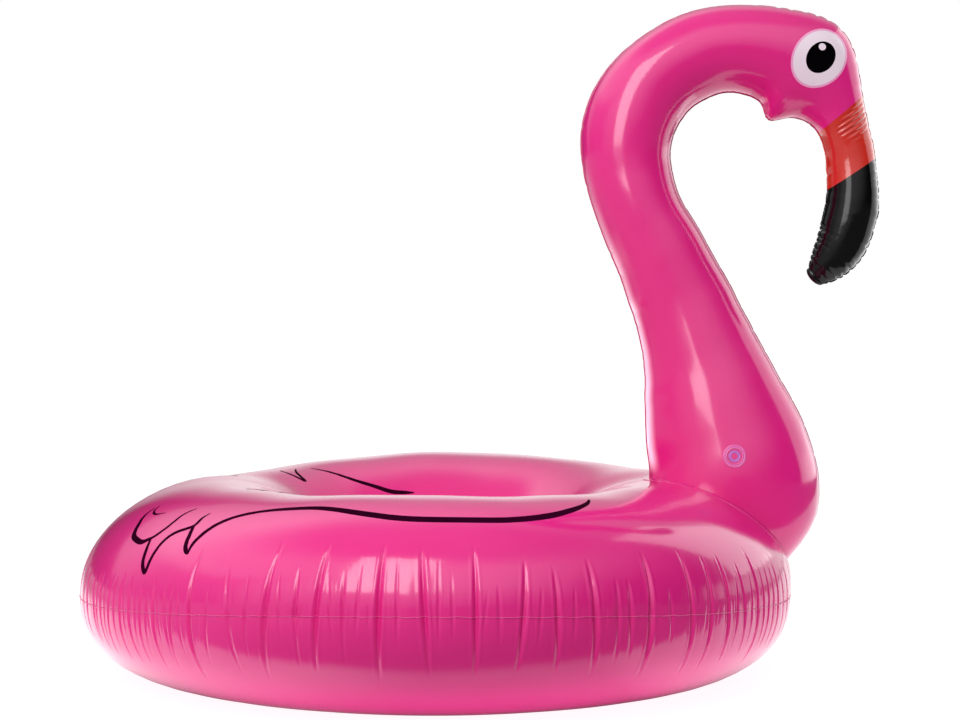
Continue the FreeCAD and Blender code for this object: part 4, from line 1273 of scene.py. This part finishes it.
# ------------------------------------------------------------ floor
def floor_glow(tree, place):
    """Glow of the paper. Rays from the camera see it even; reflections see it fall away
    towards the camera and dim under the ring."""
    calc, step = partial(node_math, tree), partial(node_step, tree)
    x, y, _ = add_node(tree, "SeparateXYZ", {0: place}).outputs
    # 1 beyond a curved edge on the camera's side of the ring
    edge = calc("SUBTRACT", y, calc("MULTIPLY", calc("MULTIPLY", x, x), 0.34))
    beyond = step(edge, span=(-0.565, -0.525))
    radius = calc("SQRT", calc("ADD", calc("MULTIPLY", x, x), calc("MULTIPLY", y, y)))
    # dimmer in a band just on the +X side of the middle, under the ring and far out at -X
    band = calc("MAXIMUM", step(x, span=(-0.22, 0.02), levels=(1.0, 0.52)),
                step(x, span=(0.10, 0.40), levels=(0.0, 0.85)))
    ring_shade = step(radius, span=(0.42, 0.545), levels=(0.14, 1.3))
    beyond_glow = calc("MULTIPLY", calc("MULTIPLY", beyond, band), ring_shade)
    far_fade = step(x, span=(-1.5, -0.9), levels=(0.12, 1.0))
    beyond_glow = calc("MULTIPLY", beyond_glow, far_fade)
    front_glow = calc("MULTIPLY", calc("SUBTRACT", 1.0, beyond),
                      step(x, span=(-1.4, 0.4), levels=(0.40, 0.03)))
    diffuse_glow = calc("MULTIPLY", beyond, 1.5)
    rays = add_node(tree, "LightPath", {}).outputs
    soft = node_mix(tree, rays["Is Diffuse Ray"], beyond_glow, diffuse_glow)
    return node_mix(tree, rays["Is Camera Ray"], calc("ADD", soft, front_glow), 0.92)


def floor_material():
    """Matt white paper with faint mottling."""
    material, tree, shader = new_material("floor_paper")
    place = add_node(tree, "TexCoord", {}).outputs["Object"]
    mottle = node_noise(tree, place, scale=1.5, detail=3.0)
    set_inputs(tree, shader, {
        "Roughness": 0.9,
        "Specular IOR Level": 0.1,
        "Base Color": node_ramp(tree, mottle, ((0.15, 0.15, 0.151), (0.17, 0.17, 0.171))),
        "Emission Color": (1, 1, 1, 1),
        "Emission Strength": floor_glow(tree, place),
    })
    return material


FLOOR_HALF = 30
floor_mesh = bpy.data.meshes.new("floor")
floor_mesh.from_pydata([(x * FLOOR_HALF, y * FLOOR_HALF, 0)
                        for x, y in ((-1, -1), (1, -1), (1, 1), (-1, 1))], [], [(0, 1, 2, 3)])
floor = bpy.data.objects.new("floor", floor_mesh)
bpy.context.scene.collection.objects.link(floor)
floor_mesh.materials.append(floor_material())


# ------------------------------------------------------------ world and lights
def build_world():
    """The room: a big soft light high at -X -Y, and white paper low at +Y and +X."""
    world = bpy.data.worlds.new("studio")
    bpy.context.scene.world = world
    world.use_nodes = True
    tree = world.node_tree
    tree.nodes.clear()
    calc, step = partial(node_math, tree), partial(node_step, tree)
    direction = add_node(tree, "TexCoord", {}).outputs["Generated"]
    x, y, z = add_node(tree, "SeparateXYZ", {0: direction}).outputs

    def towards(*aim):
        """Cosine of the angle to the aim."""
        length = math.sqrt(sum(c * c for c in aim))
        terms = [calc("MULTIPLY", v, c / length) for v, c in zip((x, y, z), aim)]
        return calc("ADD", calc("ADD", terms[0], terms[1]), terms[2])

    def azimuth_step(start, stop):
        return step(azimuth, span=(math.radians(start), math.radians(stop)))

    azimuth = calc("ARCTAN2", x, y)  # 0 at +Y, growing towards +X
    key = step(towards(-0.5, -0.5, 0.7), span=(-0.1, 0.75), levels=(0.10, 1.40))
    dome = calc("MULTIPLY", key, step(z, span=(0.0, 0.45), levels=(0.57, 1.0)))
    # low directions are dark except towards -Y
    low_side = calc("MAXIMUM", step(z, span=(0.30, 0.55)),
                    step(y, span=(-0.25, -0.70), levels=(0.40, 1.0)))
    dome = calc("MULTIPLY", calc("MULTIPLY", dome, low_side),
                step(z, span=(0.72, 0.92), levels=(1.0, 0.36)))
    dome = calc("ADD", dome, step(y, span=(0.2, 0.6), levels=(0.0, 0.40)))
    # a dark patch opposite this direction
    patch = step(towards(0.364, -0.875, 0.317), span=(-0.752, -0.736), levels=(0.10, 1.0))
    dome = calc("MULTIPLY", dome, patch)
    paper = calc("MULTIPLY", calc("MULTIPLY", azimuth_step(-22, -5), azimuth_step(30, 14)),
                 step(z, span=(0.52, 0.06)))
    side_paper = calc("MULTIPLY", calc("MULTIPLY", azimuth_step(10, 16), azimuth_step(94, 70)),
                      step(z, span=(0.24, 0.12)))
    level = calc("MAXIMUM", calc("MAXIMUM", paper, side_paper), dome)
    camera_ray = add_node(tree, "LightPath", {}).outputs["Is Camera Ray"]
    background = add_node(tree, "Background", {
        "Strength": node_mix(tree, camera_ray, level, 1.0), "Color": (1, 1, 1, 1)})
    add_node(tree, "OutputWorld", {"Surface": background.outputs[0]})


def softbox(name, place, target, width, height, power):
    data = bpy.data.lights.new(name, "AREA")
    data.shape = "RECTANGLE"
    data.size, data.size_y, data.energy = width, height, power
    light = bpy.data.objects.new(name, data)
    bpy.context.scene.collection.objects.link(light)
    light.location = place
    light.rotation_mode = "QUATERNION"
    light.rotation_quaternion = (Vector(target) - Vector(place)).to_track_quat("-Z", "Y")


build_world()
softbox("window_left", place=(-0.55, -2.02, 1.64), target=(0.0, -0.5, 0.96),
        width=1.0, height=1.95, power=26)
softbox("card_right", place=(0.88, 0.195, 0.74), target=(-0.2, 0.195, 0.66),
        width=0.53, height=0.92, power=2.1)

scene = bpy.context.scene
scene.view_settings.view_transform = "Standard"
scene.view_settings.look = "None"
